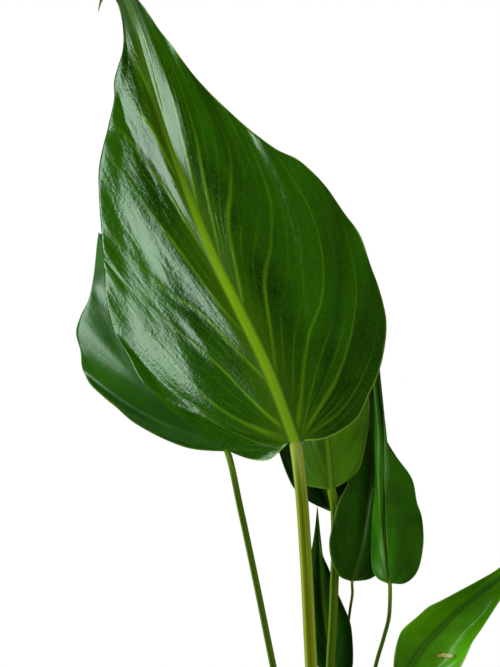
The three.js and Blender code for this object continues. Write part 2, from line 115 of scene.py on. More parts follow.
soft_box("window", 69, 7, 1.5, (1.03, 1.15), 31, SKY)
soft_box("front_fill", -40, 20, 1.6, (1.4, 1.4), 9, WHITE, sheen=False)
soft_box("back_fill", 160, 40, 1.6, (1.0, 1.0), 8, WHITE, sheen=False)
print("lights:", len(bpy.data.lights))

# %% [markdown]
# Backdrop
#
# The photograph's background is white, but a white room would lie on every leaf as a grey veil.
# A white wall behind the plant would get in the way of the other views. So the world shows white
# to the camera, soft grey to the shadows and nearly nothing to mirror-like rays. A Light Path node
# tells those rays apart.

# %% Backdrop
SEEN_WHITE = (1, 1, 1, 1)
SHADOW_GREY = (0.36, 0.36, 0.36, 1)
NEARLY_BLACK = (0.001, 0.001, 0.001, 1)


def make_backdrop():
    """A chain of two choices: one for mirror-like rays, and one for what the camera sees."""
    world = bpy.data.worlds.new("studio")
    bpy.context.scene.world = world
    world.use_nodes = True
    nodes, links = world.node_tree.nodes, world.node_tree.links
    path = nodes.new("ShaderNodeLightPath")
    before = None
    for ray, shown in (("Is Glossy Ray", NEARLY_BLACK), ("Is Camera Ray", SEEN_WHITE)):
        choice = nodes.new("ShaderNodeMix")
        choice.data_type = "RGBA"
        choice.inputs["A"].default_value = SHADOW_GREY
        choice.inputs["B"].default_value = shown
        links.new(path.outputs[ray], choice.inputs["Factor"])
        if before is not None:
            links.new(before, choice.inputs["A"])
        before = choice.outputs["Result"]
    links.new(before, nodes["Background"].inputs["Color"])
    print("backdrop nodes:", len(nodes))


make_backdrop()

# %% [markdown]
# Leaf measures
#
# Each leaf was measured once, along its midrib and its two margins, and its stalk along its way up
# from the stem. A leaf could also be bent from a flat outline, but then its tip and its lobes would
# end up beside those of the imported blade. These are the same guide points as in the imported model,
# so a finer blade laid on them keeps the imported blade's place and outline.
# dome is how far the rows bulge to the front, and fan the share of the margin that the rows from
# the stalk reach. Both have a value for the left half and one for the right. bow is how far the
# rows arch towards the tip. node is where the stalk leaves the stem, as a direction in degrees
# and a height.

# %% Leaf measures
LEAVES = [
    dict(
        name="leaf_1",
        midrib=[
            [-13.5, -50, 308.5], [-24, -48, 336.5], [-35.5, -43, 360.5], [-45.5, -37, 381],
            [-56, -30, 406.5], [-65.5, -22, 432.5], [-73, -14, 457], [-80.5, -6, 483],
            [-84.5, -3, 494], [-88.5, -1, 498.5], [-93, 1, 495.5], [-95.5, 4, 487.5],
        ],
        left=[
            [-19, -48, 305], [-24, -45, 301], [-31, -41, 301], [-39.5, -38, 304],
            [-52, -34, 311], [-64.5, -32, 321.5], [-75, -30.5, 331.5], [-82, -26, 344],
            [-88, -22, 354.5], [-91, -21, 368.5], [-92, -20, 384.5], [-94, -16, 409.5],
            [-94, -14, 421.5], [-90.5, -12, 437.5], [-88, -10, 449.5], [-88, -8, 457.5],
            [-84.5, -7, 470.5], [-85, -5, 483], [-87.5, -3, 491.5], [-90.5, 0, 495],
            [-93.2, 2, 493],
        ],
        right=[
            [-2, -49, 309.5], [5, -47, 312.5], [12, -45, 318], [16.5, -43, 327],
            [21, -41, 337], [24, -38, 355.5], [21.5, -38, 368.5], [17.5, -39.5, 379.5],
            [13, -37.5, 392.5], [7, -35, 401], [-1.5, -35, 413], [-12, -33.5, 423],
            [-20, -30.5, 427], [-29.5, -27, 434], [-39.5, -22.5, 443], [-50.5, -18.5, 454],
            [-56.5, -17.5, 461], [-63.5, -14.5, 471], [-70, -10, 479.5], [-75.5, -7, 488],
            [-79, -5.5, 492.5], [-83.5, -3, 499], [-88.5, 0, 501.5], [-93, 2, 498],
        ],
        petiole_width=5, foot_width=6, node=[265, 119],
        stalk=[[-3, -16, 158.5], [-6.5, -31, 217], [-9, -42, 263.5], [-11, -47, 290]],
        dome=[0, 0.02], bow=0.2, fan=[0.45, 0.58],
    ),
    dict(
        name="leaf_2",
        midrib=[
            [-41.5, 34, 301.5], [-60, 34, 326.5], [-77, 37, 355.5], [-91, 42, 380.5],
            [-97.5, 46, 396],
        ],
        left=[
            [-51.5, 35.5, 301.5], [-58.5, 36.5, 302.5], [-67, 38.5, 305.5], [-75.5, 41, 309.5],
            [-83, 43, 314], [-90, 45.5, 320], [-96, 47.5, 325], [-101.5, 49.5, 330],
            [-105, 52, 337], [-105.5, 49.5, 344], [-107.5, 49.5, 352.5], [-105.5, 48, 359.5],
            [-102, 47, 366.5], [-100, 49, 376], [-99, 49, 384], [-98.3, 47.5, 391],
        ],
        right=[
            [-36.5, 38, 314.5], [-37, 42, 332], [-44.5, 45, 349], [-57.5, 47, 366.5],
            [-75, 48, 383], [-90.5, 47, 391.5],
        ],
        petiole_width=2.8, foot_width=3.6, node=[172, 116],
        stalk=[[-10, 9, 154.5], [-21.5, 19, 209.5], [-29, 26, 246], [-35.5, 31, 276]],
        dome=[0, 0], bow=0.2, fan=[0.5, 0.4], panels=8,
    ),
    dict(
        name="leaf_3",
        midrib=[[3, 12, 286.5], [2, 12, 298.5], [1, 14, 311], [2, 18, 328], [4.5, 24, 351.5]],
        left=[
            [-4, 13, 287], [-9, 14, 288], [-11.5, 15, 293], [-12, 16, 301.5], [-10, 17, 313],
            [-6, 20, 328], [-0.5, 23, 343],
        ],
        right=[
            [9, 12, 289], [14.5, 12, 294], [16.5, 12.5, 300], [18, 13, 307.5],
            [19, 14, 314.5], [19, 15, 324.5], [17, 18, 334.5], [12, 22, 343.5],
        ],
        petiole_width=3.8, foot_width=4.4, node=[33, 119],
        stalk=[
            [3, 6, 150], [2, 7, 172], [2.5, 9, 211], [3.5, 12, 226], [4, 14, 236.5],
            [4.5, 18.5, 247], [5, 20.5, 257.5], [5, 20, 269], [4.5, 17.5, 278.5],
        ],
        dome=[0.05, 0.05], bow=0.2, fan=[0.5, 0.5], panels=7.5,
    ),
    dict(
        name="leaf_4",
        midrib=[
            [27.5, 6, 246.5], [25.5, 6, 256.5], [25.5, 7, 273], [26, 8, 283],
            [27, 9, 292.5], [26, 12, 305.5], [24, 15, 319.5], [22.5, 20, 338.5],
            [18.5, 28, 363.5],
        ],
        left=[
            [22.5, 9, 248.5], [20.5, 11, 252], [20, 12.5, 260], [20.5, 13.5, 273],
            [21.5, 15, 285.5], [21.5, 16, 298], [21, 17, 311], [20.5, 19, 323.5],
            [19.5, 22, 340.5],
        ],
        right=[
            [34, 8, 246.5], [39, 11, 250.5], [42, 14, 261.5], [41.5, 15, 274],
            [39.5, 15, 280], [37.5, 17, 290], [30.5, 17, 300], [26, 17, 308], [24, 18, 317],
            [24, 20, 328.5], [23.5, 23, 340.5], [22, 26, 352.5],
        ],
        petiole_width=1.7, foot_width=3, node=[352, 116],
        stalk=[[12, 5, 160], [21.5, 8, 211], [25, 7, 223.5], [27, 6, 231.5], [27.5, 6, 237]],
        dome=[0.1, 0.1], bow=0, fan=[0.4, 0.4], panels=6,
    ),
    dict(
        name="leaf_5",
        midrib=[
            [12, 17, 246.5], [15.5, 17, 258], [18.5, 19, 276.5], [20, 21, 288.5],
            [21, 23, 304.5], [20.5, 26, 323.5], [14, 33, 353.5],
        ],
        left=[
            [6, 12, 249.5], [3, 10, 256], [2, 9, 263.5], [3, 10, 269], [4, 11.5, 273.5],
            [6.3, 13, 281], [9.8, 16, 287.5], [12.5, 20.5, 298], [14.5, 24, 310.5],
            [15, 28, 325.5], [14, 31, 340.5],
        ],
        right=[
            [20, 19, 247.5], [24.5, 22, 251], [27, 25, 260], [28, 27, 272], [28.5, 29, 285.5],
            [27.5, 30, 299.5], [24.5, 31, 317], [23.5, 33, 332], [20.5, 34, 345],
        ],
        petiole_width=1.2, foot_width=2.6, node=[62, 117],
        stalk=[
            [5, 18, 166], [8.5, 30, 208.5], [10.5, 31, 224.5], [11.5, 27.5, 233.5],
            [12.3, 22, 241],
        ],
        dome=[0.08, 0.08], bow=0.2, fan=[0.4, 0.4], panels=6,
    ),
    dict(
        name="leaf_6",
        midrib=[
            [4.5, 17, 203.5], [2.5, 21, 216.5], [0, 25, 235.5], [-1.5, 28, 254.5],
            [-2.5, 31, 277.5],
        ],
        left=[
            [0, 19, 209], [-3, 22, 212], [-6.5, 25, 218.5], [-8.5, 27, 231], [-7.5, 29, 245],
            [-5, 30, 258.5], [-3.5, 31, 267.5],
        ],
        right=[
            [9.5, 18, 203], [12, 20, 208.5], [12.5, 21, 214.5], [11.5, 22, 227.5],
            [10, 23, 232], [6, 25, 241], [2.5, 27, 250.5], [-0.5, 28, 257.5],
            [-1.5, 30, 265.5],
        ],
        petiole_width=2, foot_width=2.8, node=[93, 115],
        stalk=[[2.5, 13, 162.5], [4, 17, 191.5]],
        dome=[0.08, 0.08], bow=0.2, fan=[0.35, 0.35], panels=5,
    ),
    dict(
        name="leaf_7",
        midrib=[
            [29.5, -30, 205], [34, -31, 215.5], [39, -32, 223.5], [46.5, -33, 232],
            [54, -34, 239.5], [62, -35, 246], [70.5, -36, 252.5], [77.5, -36, 259.5],
            [85, -34, 267.5],
        ],
        left=[
            [27.5, -33, 213.5], [28, -37, 222.5], [30, -40, 231], [36.5, -43, 237.5],
            [41, -44, 241.5], [46, -44, 244], [60, -44, 251.5], [70, -42, 257],
            [78, -39, 263],
        ],
        right=[
            [36, -32, 199.5], [43, -36, 201], [49, -38, 207], [54, -40, 216.5],
            [57, -41, 223], [58.5, -41, 226.5], [63, -40, 233], [70, -39, 243.5],
            [77.5, -38, 255],
        ],
        petiole_width=2.2, foot_width=3, node=[315, 113],
        stalk=[[10, -13, 145.5], [17.5, -22, 174], [25, -28, 194.5]],
        dome=[-0.06, -0.06], bow=0.2, fan=[0.4, 0.45], panels=6,
    ),
    dict(
        name="leaf_8",
        midrib=[
            [6.5, 34, 274.5], [1, 36, 288.5], [-5.5, 39, 306], [-11.5, 43, 323],
            [-16.5, 47, 340.5], [-20.5, 52, 357],
        ],
        left=[
            [1.5, 35, 276.5], [-2, 36, 277.5], [-7, 38, 280], [-12.5, 40, 285],
            [-15.5, 42, 291], [-18.5, 44, 299.5], [-21.5, 46, 312], [-24.5, 49, 327.5],
            [-24.5, 51, 342.5],
        ],
        right=[
            [11, 36, 278], [12, 38, 285], [10, 40, 297], [7, 42, 310], [2, 45, 323],
            [-5.5, 48, 336], [-12, 50, 347],
        ],
        petiole_width=2.6, foot_width=3.4, node=[126, 118],
        stalk=[
            [1, 22, 161], [3.5, 36, 207.5], [4.5, 39, 227], [5.5, 39.5, 240.5],
            [6, 37.5, 260.5],
        ],
        dome=[0.05, 0.05], bow=0.2, fan=[0.5, 0.4], panels=5,
    ),
]
print("leaves:", len(LEAVES))

# %% [markdown]
# Guide curves
#
# The midrib and the margin of a leaf are smooth lines. Blender's own curves could draw them, but
# every point would need its handles set by hand. A spline that takes its directions from the
# points beside each point needs none, and the centripetal kind doesn't overshoot where points lie
# close together, as they do round the lobes of a leaf. Places on the curve are asked for as
# shares of its length, so it is sampled finely once and read by length.

# %% Guide curves


def unit(vectors):
    return vectors / np.maximum(np.linalg.norm(vectors, axis=-1, keepdims=True), 1e-12)


class Curve:
    """A centripetal spline through points, read by share of its length."""

    STEPS = 60  # samples between one point and the next
    REACH = 2e-3  # how far to each side its direction is measured, as a share of its length

    def __init__(self, points):
        given = np.asarray(points, float)
        ends = (2 * given[:1] - given[1:2], 2 * given[-1:] - given[-2:-1])
        given = np.concatenate([ends[0], given, ends[1]])
        u = np.linspace(0, 1, self.STEPS, endpoint=False)[:, None]
        pieces = []
        for a, b, c, d in zip(given, given[1:], given[2:], given[3:]):
            before, here, after = [np.sqrt(np.linalg.norm(v)) for v in (b - a, c - b, d - c)]
            leave = ((b - a) / before - (c - a) / (before + here) + (c - b) / here) * here
            arrive = ((c - b) / here - (d - b) / (here + after) + (d - c) / after) * here
            cubic = (2 * (b - c) + leave + arrive) * u**3
            pieces.append(b + leave * u + (3 * (c - b) - 2 * leave - arrive) * u**2 + cubic)
        self.points = np.concatenate([*pieces, given[-2:-1]])
        run = np.linalg.norm(np.diff(self.points, axis=0), axis=1)
        self.length = run.sum()
        self.share = np.concatenate([[0], np.cumsum(run)]) / self.length

    def at(self, share):
        axes = [np.interp(share, self.share, self.points[:, k]) for k in range(3)]
        return np.stack(axes, -1)

    def along(self, share):
        after, before = np.minimum(share + self.REACH, 1), np.maximum(share - self.REACH, 0)
        return unit(self.at(after) - self.at(before))


print("midrib of the large leaf, mm:", round(Curve(LEAVES[0]["midrib"]).length, 1))

# %% [markdown]
# Blade surface
#
# A monstera leaf is built on its veins. They leave the midrib close together near the stalk, arch
# towards the tip and run out to the margin. A subdivided plane with a normal map would be quicker,
# but then the relief wouldn't be in the mesh, and the sheen breaks on that relief. So the surface
# is laid out in rows that follow the veins: a row starts on the midrib and ends on the margin. The
# first rows fan out from the stalk into the lobe, and the others start along the midrib.

# %% Blade surface
FAN_ROWS = 0.42  # share of the rows that start at the stalk
VEIN_CROWDING = 1.5  # the other rows start closer together near the stalk
TIP_BOW = 0.4  # share of a row's bow that is left at the tip
FOOT_TURN = 0.08  # share of the midrib in which its cross direction leaves the stalk's
SIDES = (-1, 1)  # left and right


def smoothstep(value, low, high):
    """0 up to low, 1 from high on, and a smooth rise between them."""
    share = np.clip((value - low) / (high - low), 0, 1)
    return share * share * (3 - 2 * share)


def rib_edge(leaf, midrib, side, share):
    """The edge of the midrib on one side, at shares of its length."""
    along = midrib.along(share)
    across = unit(np.stack([along[..., 2], 0 * share, -along[..., 0]], -1))
    run = np.subtract(leaf["midrib"][0], leaf["stalk"][-1])
    foot = unit(np.array([run[2], 0, -run[0]]))
    turn = smoothstep(share, 0, FOOT_TURN)[..., None]
    direction = unit(foot * (1 - turn) + across * turn)
    half_width = side * leaf["petiole_width"] * (1 - share) / 2
    return midrib.at(share) + direction * half_width[..., None]


def guide_curves(leaf):
    """The midrib, and the left and the right margin."""
    midrib = Curve(leaf["midrib"])
    margins = {}
    for side, points in zip(SIDES, (leaf["left"], leaf["right"])):
        foot = rib_edge(leaf, midrib, side, np.zeros(1))[0]
        margins[side] = Curve([foot, *points, leaf["midrib"][-1]])
    return midrib, margins


def blade_rows(leaf, midrib, margin, side, t, w):
    """The blade's plain surface: rows t from the stalk to the tip, places w along each row."""
    past = np.clip((t - FAN_ROWS) / (1 - FAN_ROWS), 0, 1)
    within = np.clip(t / FAN_ROWS, 0, 1)
    half = SIDES.index(side)
    fan = leaf["fan"][half]
    start = rib_edge(leaf, midrib, side, past**VEIN_CROWDING)
    end = margin.at(fan * within + (1 - fan) * past)
    run = end - start
    length = np.hypot(run[:, 0], run[:, 2])
    bow = leaf["bow"] * smoothstep(t, 0, FAN_ROWS) * (1 + (TIP_BOW - 1) * smoothstep(t, 0, 1))
    control = (start + end) / 2
    control[:, 0] += bow * side * run[:, 2]
    control[:, 2] -= bow * side * run[:, 0]
    control[:, 1] -= 2 * leaf["dome"][half] * length
    share = w[None, :, None]
    start, control, end = start[:, None], control[:, None], end[:, None]
    surface = start * (1 - share) ** 2 + 2 * control * share * (1 - share) + end * share**2
    return surface, midrib.at(past**VEIN_CROWDING), length


large = LEAVES[0]
large_midrib, large_margins = guide_curves(large)
for side in SIDES:
    rows = np.linspace(0, 1, 50)
    lengths = blade_rows(large, large_midrib, large_margins[side], side, rows, np.ones(1))[2]
    print("longest row of the large leaf, side", side, "mm:", round(lengths.max(), 1))

# %% [markdown]
# Where the veins run
#
# On the large leaf every main vein can be followed, so each is written down: the rows that it
# crosses at the midrib, a quarter, half and three quarters of the way out, and at the margin. The
# veins could be separate thin pieces, but then the blade between them would know nothing of them.
# A count that is whole on each vein, with smooth values between, serves everything: the pleats,
# the pale lines and the wrinkles beside them. On the small leaves, whose veins barely show, the
# count follows the rows, with panels as its last value.

# %% Where the veins run
VEIN_PLACES = [0, 0.25, 0.5, 0.75, 1]
BEFORE_FIRST = -0.02  # the row of number 0, just before the blade
LEAST_STEP = 1e-3  # between two veins that meet, as a share of the rows
LEAF_1_VEINS = {
    -1: [
        [0.00, 0.06, 0.30, 0.36, 0.38], [0.44, 0.41, 0.44, 0.46, 0.47],
        [0.47, 0.522, 0.522, 0.505, 0.485], [0.56, 0.596, 0.579, 0.562, 0.545],
        [0.62, 0.668, 0.683, 0.684, 0.665], [0.715, 0.748, 0.748, 0.74, 0.715],
        [0.79, 0.814, 0.81, 0.808, 0.80], [0.865, 0.876, 0.876, 0.876, 0.872],
        [0.905, 0.93, 0.94, 0.945, 0.95],
    ],
    1: [
        [0.12, 0.11, 0.11, 0.157, 0.22], [0.31, 0.238, 0.239, 0.266, 0.32],
        [0.46, 0.442, 0.374, 0.37, 0.41], [0.56, 0.585, 0.536, 0.487, 0.50],
        [0.65, 0.675, 0.642, 0.602, 0.62], [0.70, 0.732, 0.738, 0.755, 0.77],
        [0.757, 0.787, 0.812, 0.84, 0.85], [0.825, 0.865, 0.885, 0.90, 0.91],
        [0.90, 0.92, 0.93, 0.94, 0.95],
    ],
}


def vein_count(leaf, side, t, w):
    """A smooth count of the veins at each row and place: whole numbers lie on the veins."""
    if leaf["name"] != "leaf_1":
        return np.repeat(leaf["panels"] * t[:, None], len(w), 1)
    table = np.array(LEAF_1_VEINS[side])
    spline = [Curve(np.stack([VEIN_PLACES, vein, np.zeros(5)], 1)).points for vein in table]
    crossed = [np.interp(w, points[:, 0], points[:, 1]) for points in spline]
    knots = np.array([np.full(len(w), BEFORE_FIRST), *crossed, np.ones(len(w))])
    knots = np.maximum.accumulate(knots + np.arange(len(knots))[:, None] * LEAST_STEP, 0)
    numbers = np.arange(len(knots))
    return np.stack([np.interp(t, knots[:, j], numbers) for j in range(len(w))], 1)


print("main veins of the large leaf:", {side: len(veins) for side, veins in LEAF_1_VEINS.items()})

# %% [markdown]
# How much relief each leaf has
#
# The large leaf has wide pleats on its left half, which crest on every other vein and make the
# bright and dark bands of its sheen. The right half is nearly smooth, with one soft swelling.
# Leaf 2 is pleated on both halves, and the others only swell a little. A cloth simulation could
# wrinkle the blades, but not at the chosen veins, so each form is given as a height in
# millimetres.
# pleat_from is the vein where the pleats begin, near the midrib and near the margin, and pleat_end
# where they fade. quilt is the swelling between two veins, lump an uneven one, ridge the height of
# the veins, ripple the wave of the margin, and curl its bend to the front. A swell has a height, a
# row, a lean, a place along the row, and a size in rows and in places. wrinkled is the share of the
# fine wrinkles in the finish.

# %% How much relief each leaf has
PLAIN_RELIEF = dict(
    pleat=[0, 0], pleat_from=[0.5, 0.5], pleat_end=[90, 91],  # the end is past every vein
    skew=0, quilt=[0.2, 0.2], lump=[0.3, 0.3],
    swells=[[], []], curl=[0, 0], ridge=0, ripple=0.15, rib_relief=0.3, wrinkled=[0.3, 0.3],
)
RELIEF = {
    "leaf_1": dict(
        pleat=[1.8, 0], pleat_from=[2.8, 3.6], pleat_end=[7.6, 8.6], skew=0.5, quilt=[0, 0],
        lump=[0.4, 0.1], curl=[1, 0], ridge=0.12, ripple=0.35, rib_relief=1, wrinkled=[1, 0.6],
        swells=[[(3.2, 0.41, 0, 0.4, 0.12, 0.28)], [(2.5, 0.78, 0.125, 0.5, 0.045, 0.36)]],
    ),
    "leaf_2": dict(pleat=[2.2, 0.5], wrinkled=[0.35, 0.35]),
    "leaf_4": dict(lump=[0.2, 0.9], rib_relief=0),
    "leaf_5": dict(lump=[0.7, 0.5], rib_relief=0),
    "leaf_7": dict(lump=[0.5, 0.6]),
}

for leaf in LEAVES:
    leaf.update({**PLAIN_RELIEF, **RELIEF.get(leaf["name"], {})})
print("pleated leaves:", [leaf["name"] for leaf in LEAVES if max(leaf["pleat"])])

# %% [markdown]
# Relief between the veins
#
# All relief is worked out from the vein count, so it follows the veins. It could be sculpted, but a
# formula gives the same mesh on every run, and one number changes a whole fold. It dies away at
# the midrib and at the margin, where the blade has to keep its outline, and where veins lie close
# together or a row is short there is less room for it.

# %% Room for relief
FULL_RELIEF_LENGTH = 25  # shorter rows have less relief
FULL_RELIEF_SPACING = 5  # and so have veins that lie closer together


def vein_spacing(surface, count):
    """The distance from one vein to the next, at each place."""
    along_row = unit(np.gradient(surface, axis=1))
    across_row = np.gradient(surface, axis=0)
    across = across_row - (across_row * along_row).sum(-1, keepdims=True) * along_row
    steps = np.abs(np.gradient(count, axis=0))
    return np.linalg.norm(across, axis=-1) / np.maximum(steps, 1e-4)


def room_for_relief(length, spacing):
    by_length = np.minimum(1, length / FULL_RELIEF_LENGTH)[:, None]
    return by_length * np.minimum(1, spacing / FULL_RELIEF_SPACING)


def bulge(w):
    """0 on the midrib and on the margin, and nearly 1 on most of the way between them."""
    return np.sin(np.pi * w**0.85) ** 0.7


print("relief left near the margin, at w 0.95:", round(bulge(0.95), 2))

# %% [markdown]
# Pleats, lumps and swells
#
# A pleat is one wave of a cosine for every two veins, pushed a little towards the tip by skew. The
# lumps come from a small noise of our own, because a noise texture of Blender's would need a
# modifier on each half and couldn't follow the veins. A swell is a single soft mound.

# %% Pleats, lumps and swells
NOISE_SIZE = 64  # random heights each way, before they repeat
SECOND_HALF = 20  # how far apart in the noise the two halves of a leaf are
BROAD_LUMP = 16
FINE_LUMP = 8
PLEAT_START = (0.3, 0.6)  # places on a row between which the pleats' first vein changes
SKEWED = (4, 5, 6, 7)  # skew comes in over the first two veins and goes out over the last two


def pleats(leaf, count, w):
    """Wide folds, from 0 in the valleys to 1 on every other vein."""
    inner, outer = leaf["pleat_from"]
    first = outer + (inner - outer) * (1 - smoothstep(w, *PLEAT_START))
    middle = smoothstep(count, *SKEWED[:2]) * (1 - smoothstep(count, *SKEWED[2:]))
    drawn = count - leaf["skew"] * w**2 * np.sin(np.pi * (count - sum(SKEWED) / 4)) * middle
    pleat = (1 - np.cos(np.pi * drawn)) / 2 * smoothstep(count - first, 0, 1)
    return pleat * (1 - smoothstep(count, *leaf["pleat_end"]))


def soft_noise(x, y, seed):
    """Uneven swells from -1 to 1: one random height at each whole x and y, smooth between."""
    heights = np.random.default_rng(seed).uniform(-1, 1, (NOISE_SIZE, NOISE_SIZE))
    column, row = np.floor(x).astype(int), np.floor(y).astype(int)
    across, up = smoothstep(x - column, 0, 1), smoothstep(y - row, 0, 1)
    low, high = [
        heights[r % NOISE_SIZE, column % NOISE_SIZE] * (1 - across)
        + heights[r % NOISE_SIZE, (column + 1) % NOISE_SIZE] * across
        for r in (row, row + 1)
    ]
    return low * (1 - up) + high * up


def lumps_between(half, count, reach):
    """A broad and a finer unevenness, laid out along the veins."""
    broad = soft_noise(reach / BROAD_LUMP + 7, 1.6 * count + SECOND_HALF * half, 3)
    fine = soft_noise(reach / FINE_LUMP + 3, 3.1 * count + SECOND_HALF * half, 4)
    return broad + 0.3 * fine


def swell_height(swell, t, w):
    height, row, lean, share, row_size, share_size = swell
    rows_off = (t[:, None] - row + lean * (w - share)) / row_size
    mound = np.exp(-(rows_off**2) - ((w - share) / share_size) ** 2)
    return height * mound * bulge(w)


rows = np.linspace(0, 1, 101)
tops = [swell_height(swell, rows, rows).max() for swell in sum(LEAVES[0]["swells"], [])]
print("tops of the large leaf's swells, mm:", [round(float(top), 1) for top in tops])

# %% [markdown]
# Half a blade
#
# The two halves of a leaf differ, so each is made by itself, with a narrow band of the midrib
# beside it. Every relief moves a point to the front only, along -Y. Moving it along the surface's
# normal would be truer for deep folds, but these are only a few millimetres high, and a straight
# move keeps the outline as the camera sees it.

# %% Half a blade
RIB_PLACES = 4  # columns from the middle of the midrib to its edge
VEIN_RIDGE_WIDTH = 0.8
FAN_BLUR = 9  # rows to each side that the kink where the fan ends is smoothed over
FAN_BLUR_ROWS = 0.06
CURL_PLACES = (0.8, 1)  # the curl of the margin rises between these places on a row
CURL_LENGTHS = (10, 40)  # and from none to all of it between these lengths of the rows
RIPPLE_LENGTHS = (0, 30)


def smooth_fan(surface, t, w):
    """Evens out the depth near the row where the fan from the stalk ends."""
    steps = range(-FAN_BLUR, FAN_BLUR + 1)
    soft = sum(np.roll(surface[..., 1], step, axis=0) for step in steps) / len(steps)
    near_fan = np.exp(-(((t[:, None] - FAN_ROWS) / FAN_BLUR_ROWS) ** 2)) * np.sin(np.pi * w)
    surface[..., 1] += near_fan * (soft - surface[..., 1])


def add_relief(leaf, half, surface, count, spacing, reach, length, t, w):
    room = room_for_relief(length, spacing)
    quilt = np.abs(np.sin(np.pi * count)) ** 0.85
    from_vein = np.abs(count - np.round(count)) * spacing
    ridge = leaf["ridge"] * np.exp(-((from_vein / VEIN_RIDGE_WIDTH) ** 2)) * (1 - w**3)
    relief = leaf["pleat"][half] * pleats(leaf, count, w) + leaf["quilt"][half] * quilt + ridge
    ripple = leaf["ripple"] * np.sin(2 * np.pi * count) * w**6
    ripple = ripple * smoothstep(length, *RIPPLE_LENGTHS)[:, None]
    lump = leaf["lump"][half] * (room * np.sin(np.pi * w)) * lumps_between(half, count, reach)
    surface[..., 1] -= room * bulge(w) * relief + ripple + lump
    curl = leaf["curl"][half] * smoothstep(w, *CURL_PLACES)
    surface[..., 1] -= curl * smoothstep(length, *CURL_LENGTHS)[:, None]
    for swell in leaf["swells"][half]:
        surface[..., 1] -= swell_height(swell, t, w)
    smooth_fan(surface, t, w)


def with_rib_band(values):
    """A half's values, with those at the edge of the midrib carried over its band."""
    return np.concatenate([np.repeat(values[:, :1], RIB_PLACES, 1), values], 1)


def blade_half(leaf, midrib, margin, side, t, w):
    """One half of a blade: its points, row by row, and the values that its finish reads."""
    half = SIDES.index(side)
    surface, centre, length = blade_rows(leaf, midrib, margin, side, t, w)
    count = vein_count(leaf, side, t, w)
    spacing = vein_spacing(surface, count)
    reach = np.linalg.norm(surface - surface[:, :1], axis=-1)
    add_relief(leaf, half, surface, count, spacing, reach, length, t, w)
    inner = np.linspace(0, 1, RIB_PLACES, endpoint=False)[None, :, None]
    band = centre[:, None] * (1 - inner) + surface[:, :1] * inner
    points = np.concatenate([band, surface], 1)
    values = {key: with_rib_band(v) for key, v in (("vein", count), ("spacing", spacing), ("out", reach))}
    values["wrinkled"] = np.full(points.shape[:2], leaf["wrinkled"][half])
    return points, values


print("columns over the whole midrib:", 2 * RIB_PLACES)

# %% [markdown]
# Joining the halves
#
# The halves meet along the midrib, where each has its own copy of the same points. Blender's merge
# by distance could join them, but it would lose track of which point belongs to which row. Here
# points that round to the same place become one, and the table of point numbers is kept, so the
# faces and the line of the margin can be read from it.

# %% Joining the halves
MERGE_STEP = 0.0005  # points that round to the same multiple of this are one


def join_halves(halves):
    """The points and values of both halves, and each half's table of point numbers."""
    shape = halves[0][0].shape[:2]
    points = np.concatenate([points.reshape(-1, 3) for points, _ in halves])
    keys = np.round(points / MERGE_STEP).astype(int)
    _, chosen, merged = np.unique(keys, axis=0, return_index=True, return_inverse=True)
    values = {}
    for key in halves[0][1]:
        values[key] = np.concatenate([numbers[key].reshape(-1) for _, numbers in halves])[chosen]
    return points[chosen], values, merged.reshape(len(halves), *shape)


def grid_faces(index, closed=False):
    """Quads between the neighbouring entries of a table of point numbers, row by row."""
    if closed:
        index = np.concatenate([index, index[:, :1]], 1)
    corners = [index[:-1, :-1], index[:-1, 1:], index[1:, 1:], index[1:, :-1]]
    return np.stack(corners, -1).reshape(-1, 4)


def whole_faces(faces):
    """The faces without repeated corners: a quad that has shrunk to a triangle keeps three."""
    kept = []
    for face in faces.tolist():
        corners = [a for a, b in zip(face, face[1:] + face[:1]) if a != b]
        if len(set(corners)) == len(corners) >= 3:
            kept.append(corners)
    return kept


def rim_of(index):
    """The point numbers round the blade: up the right margin and down the left one."""
    left, right = [[*half[0, : RIB_PLACES + 1], *half[1:, -1]] for half in index]
    rim = right + left[1:-1][::-1]
    return [a for a, b in zip(rim, rim[1:] + rim[:1]) if a != b]


print("faces of a table of 3 by 4 points:", len(grid_faces(np.arange(12).reshape(3, 4))))

# %% [markdown]
# Places on the blade
#
# The finish has to know how far each place is from the midrib and from the margin. A vertex group
# painted by hand would do, but a measured distance draws a sharp line at any width. The distance to
# the midrib is kept in half widths of it, and it counts as a little wider towards the tip, because
# the pale band keeps its width for longer than the rib itself does.

# %% Places on the blade
LINE_SAMPLES = 300
RIB_TAPER = 0.6  # below 1, the pale band of the midrib keeps its width for longer


def nearest(points, targets):
    """For each point, the distance to the nearest target and that target's number."""
    distance = np.full(len(points), np.inf)
    number = np.zeros(len(points), int)
    for k, target in enumerate(targets):
        there = np.linalg.norm(points - target, axis=1)
        closer = there < distance
        distance[closer] = there[closer]
        number[closer] = k
    return distance, number


def measured_places(leaf, midrib, margins, points):
    """Each point's distance to the midrib in half widths, its share of it, and that to the margin."""
    samples = np.linspace(0, 1, LINE_SAMPLES)
    distance, number = nearest(points, midrib.at(samples))
    share = samples[number]
    half_width = leaf["petiole_width"] / 2 * np.maximum(1 - share, 0.02) ** RIB_TAPER
    margin = np.concatenate([margins[side].at(samples[2:]) for side in SIDES])
    return {"rib": distance / half_width, "rib_share": share, "edge": nearest(points, margin)[0]}


print("samples on each guide line:", LINE_SAMPLES)

# %% [markdown]
# From a sheet to a blade
#
# A real blade is a fraction of a millimetre thick and has a rounded edge, and its midrib stands out
# behind. A Solidify modifier gives an even thickness, but not the thin edge or the rib. So the
# sheet is doubled here along its own normals, thinner near the margin, the back gets the rib, and a
# strip of faces closes the edge. On the front the midrib is a low crown between two channels.
# Close to the stalk many rows meet, and their normals scatter, so they are steadied there.

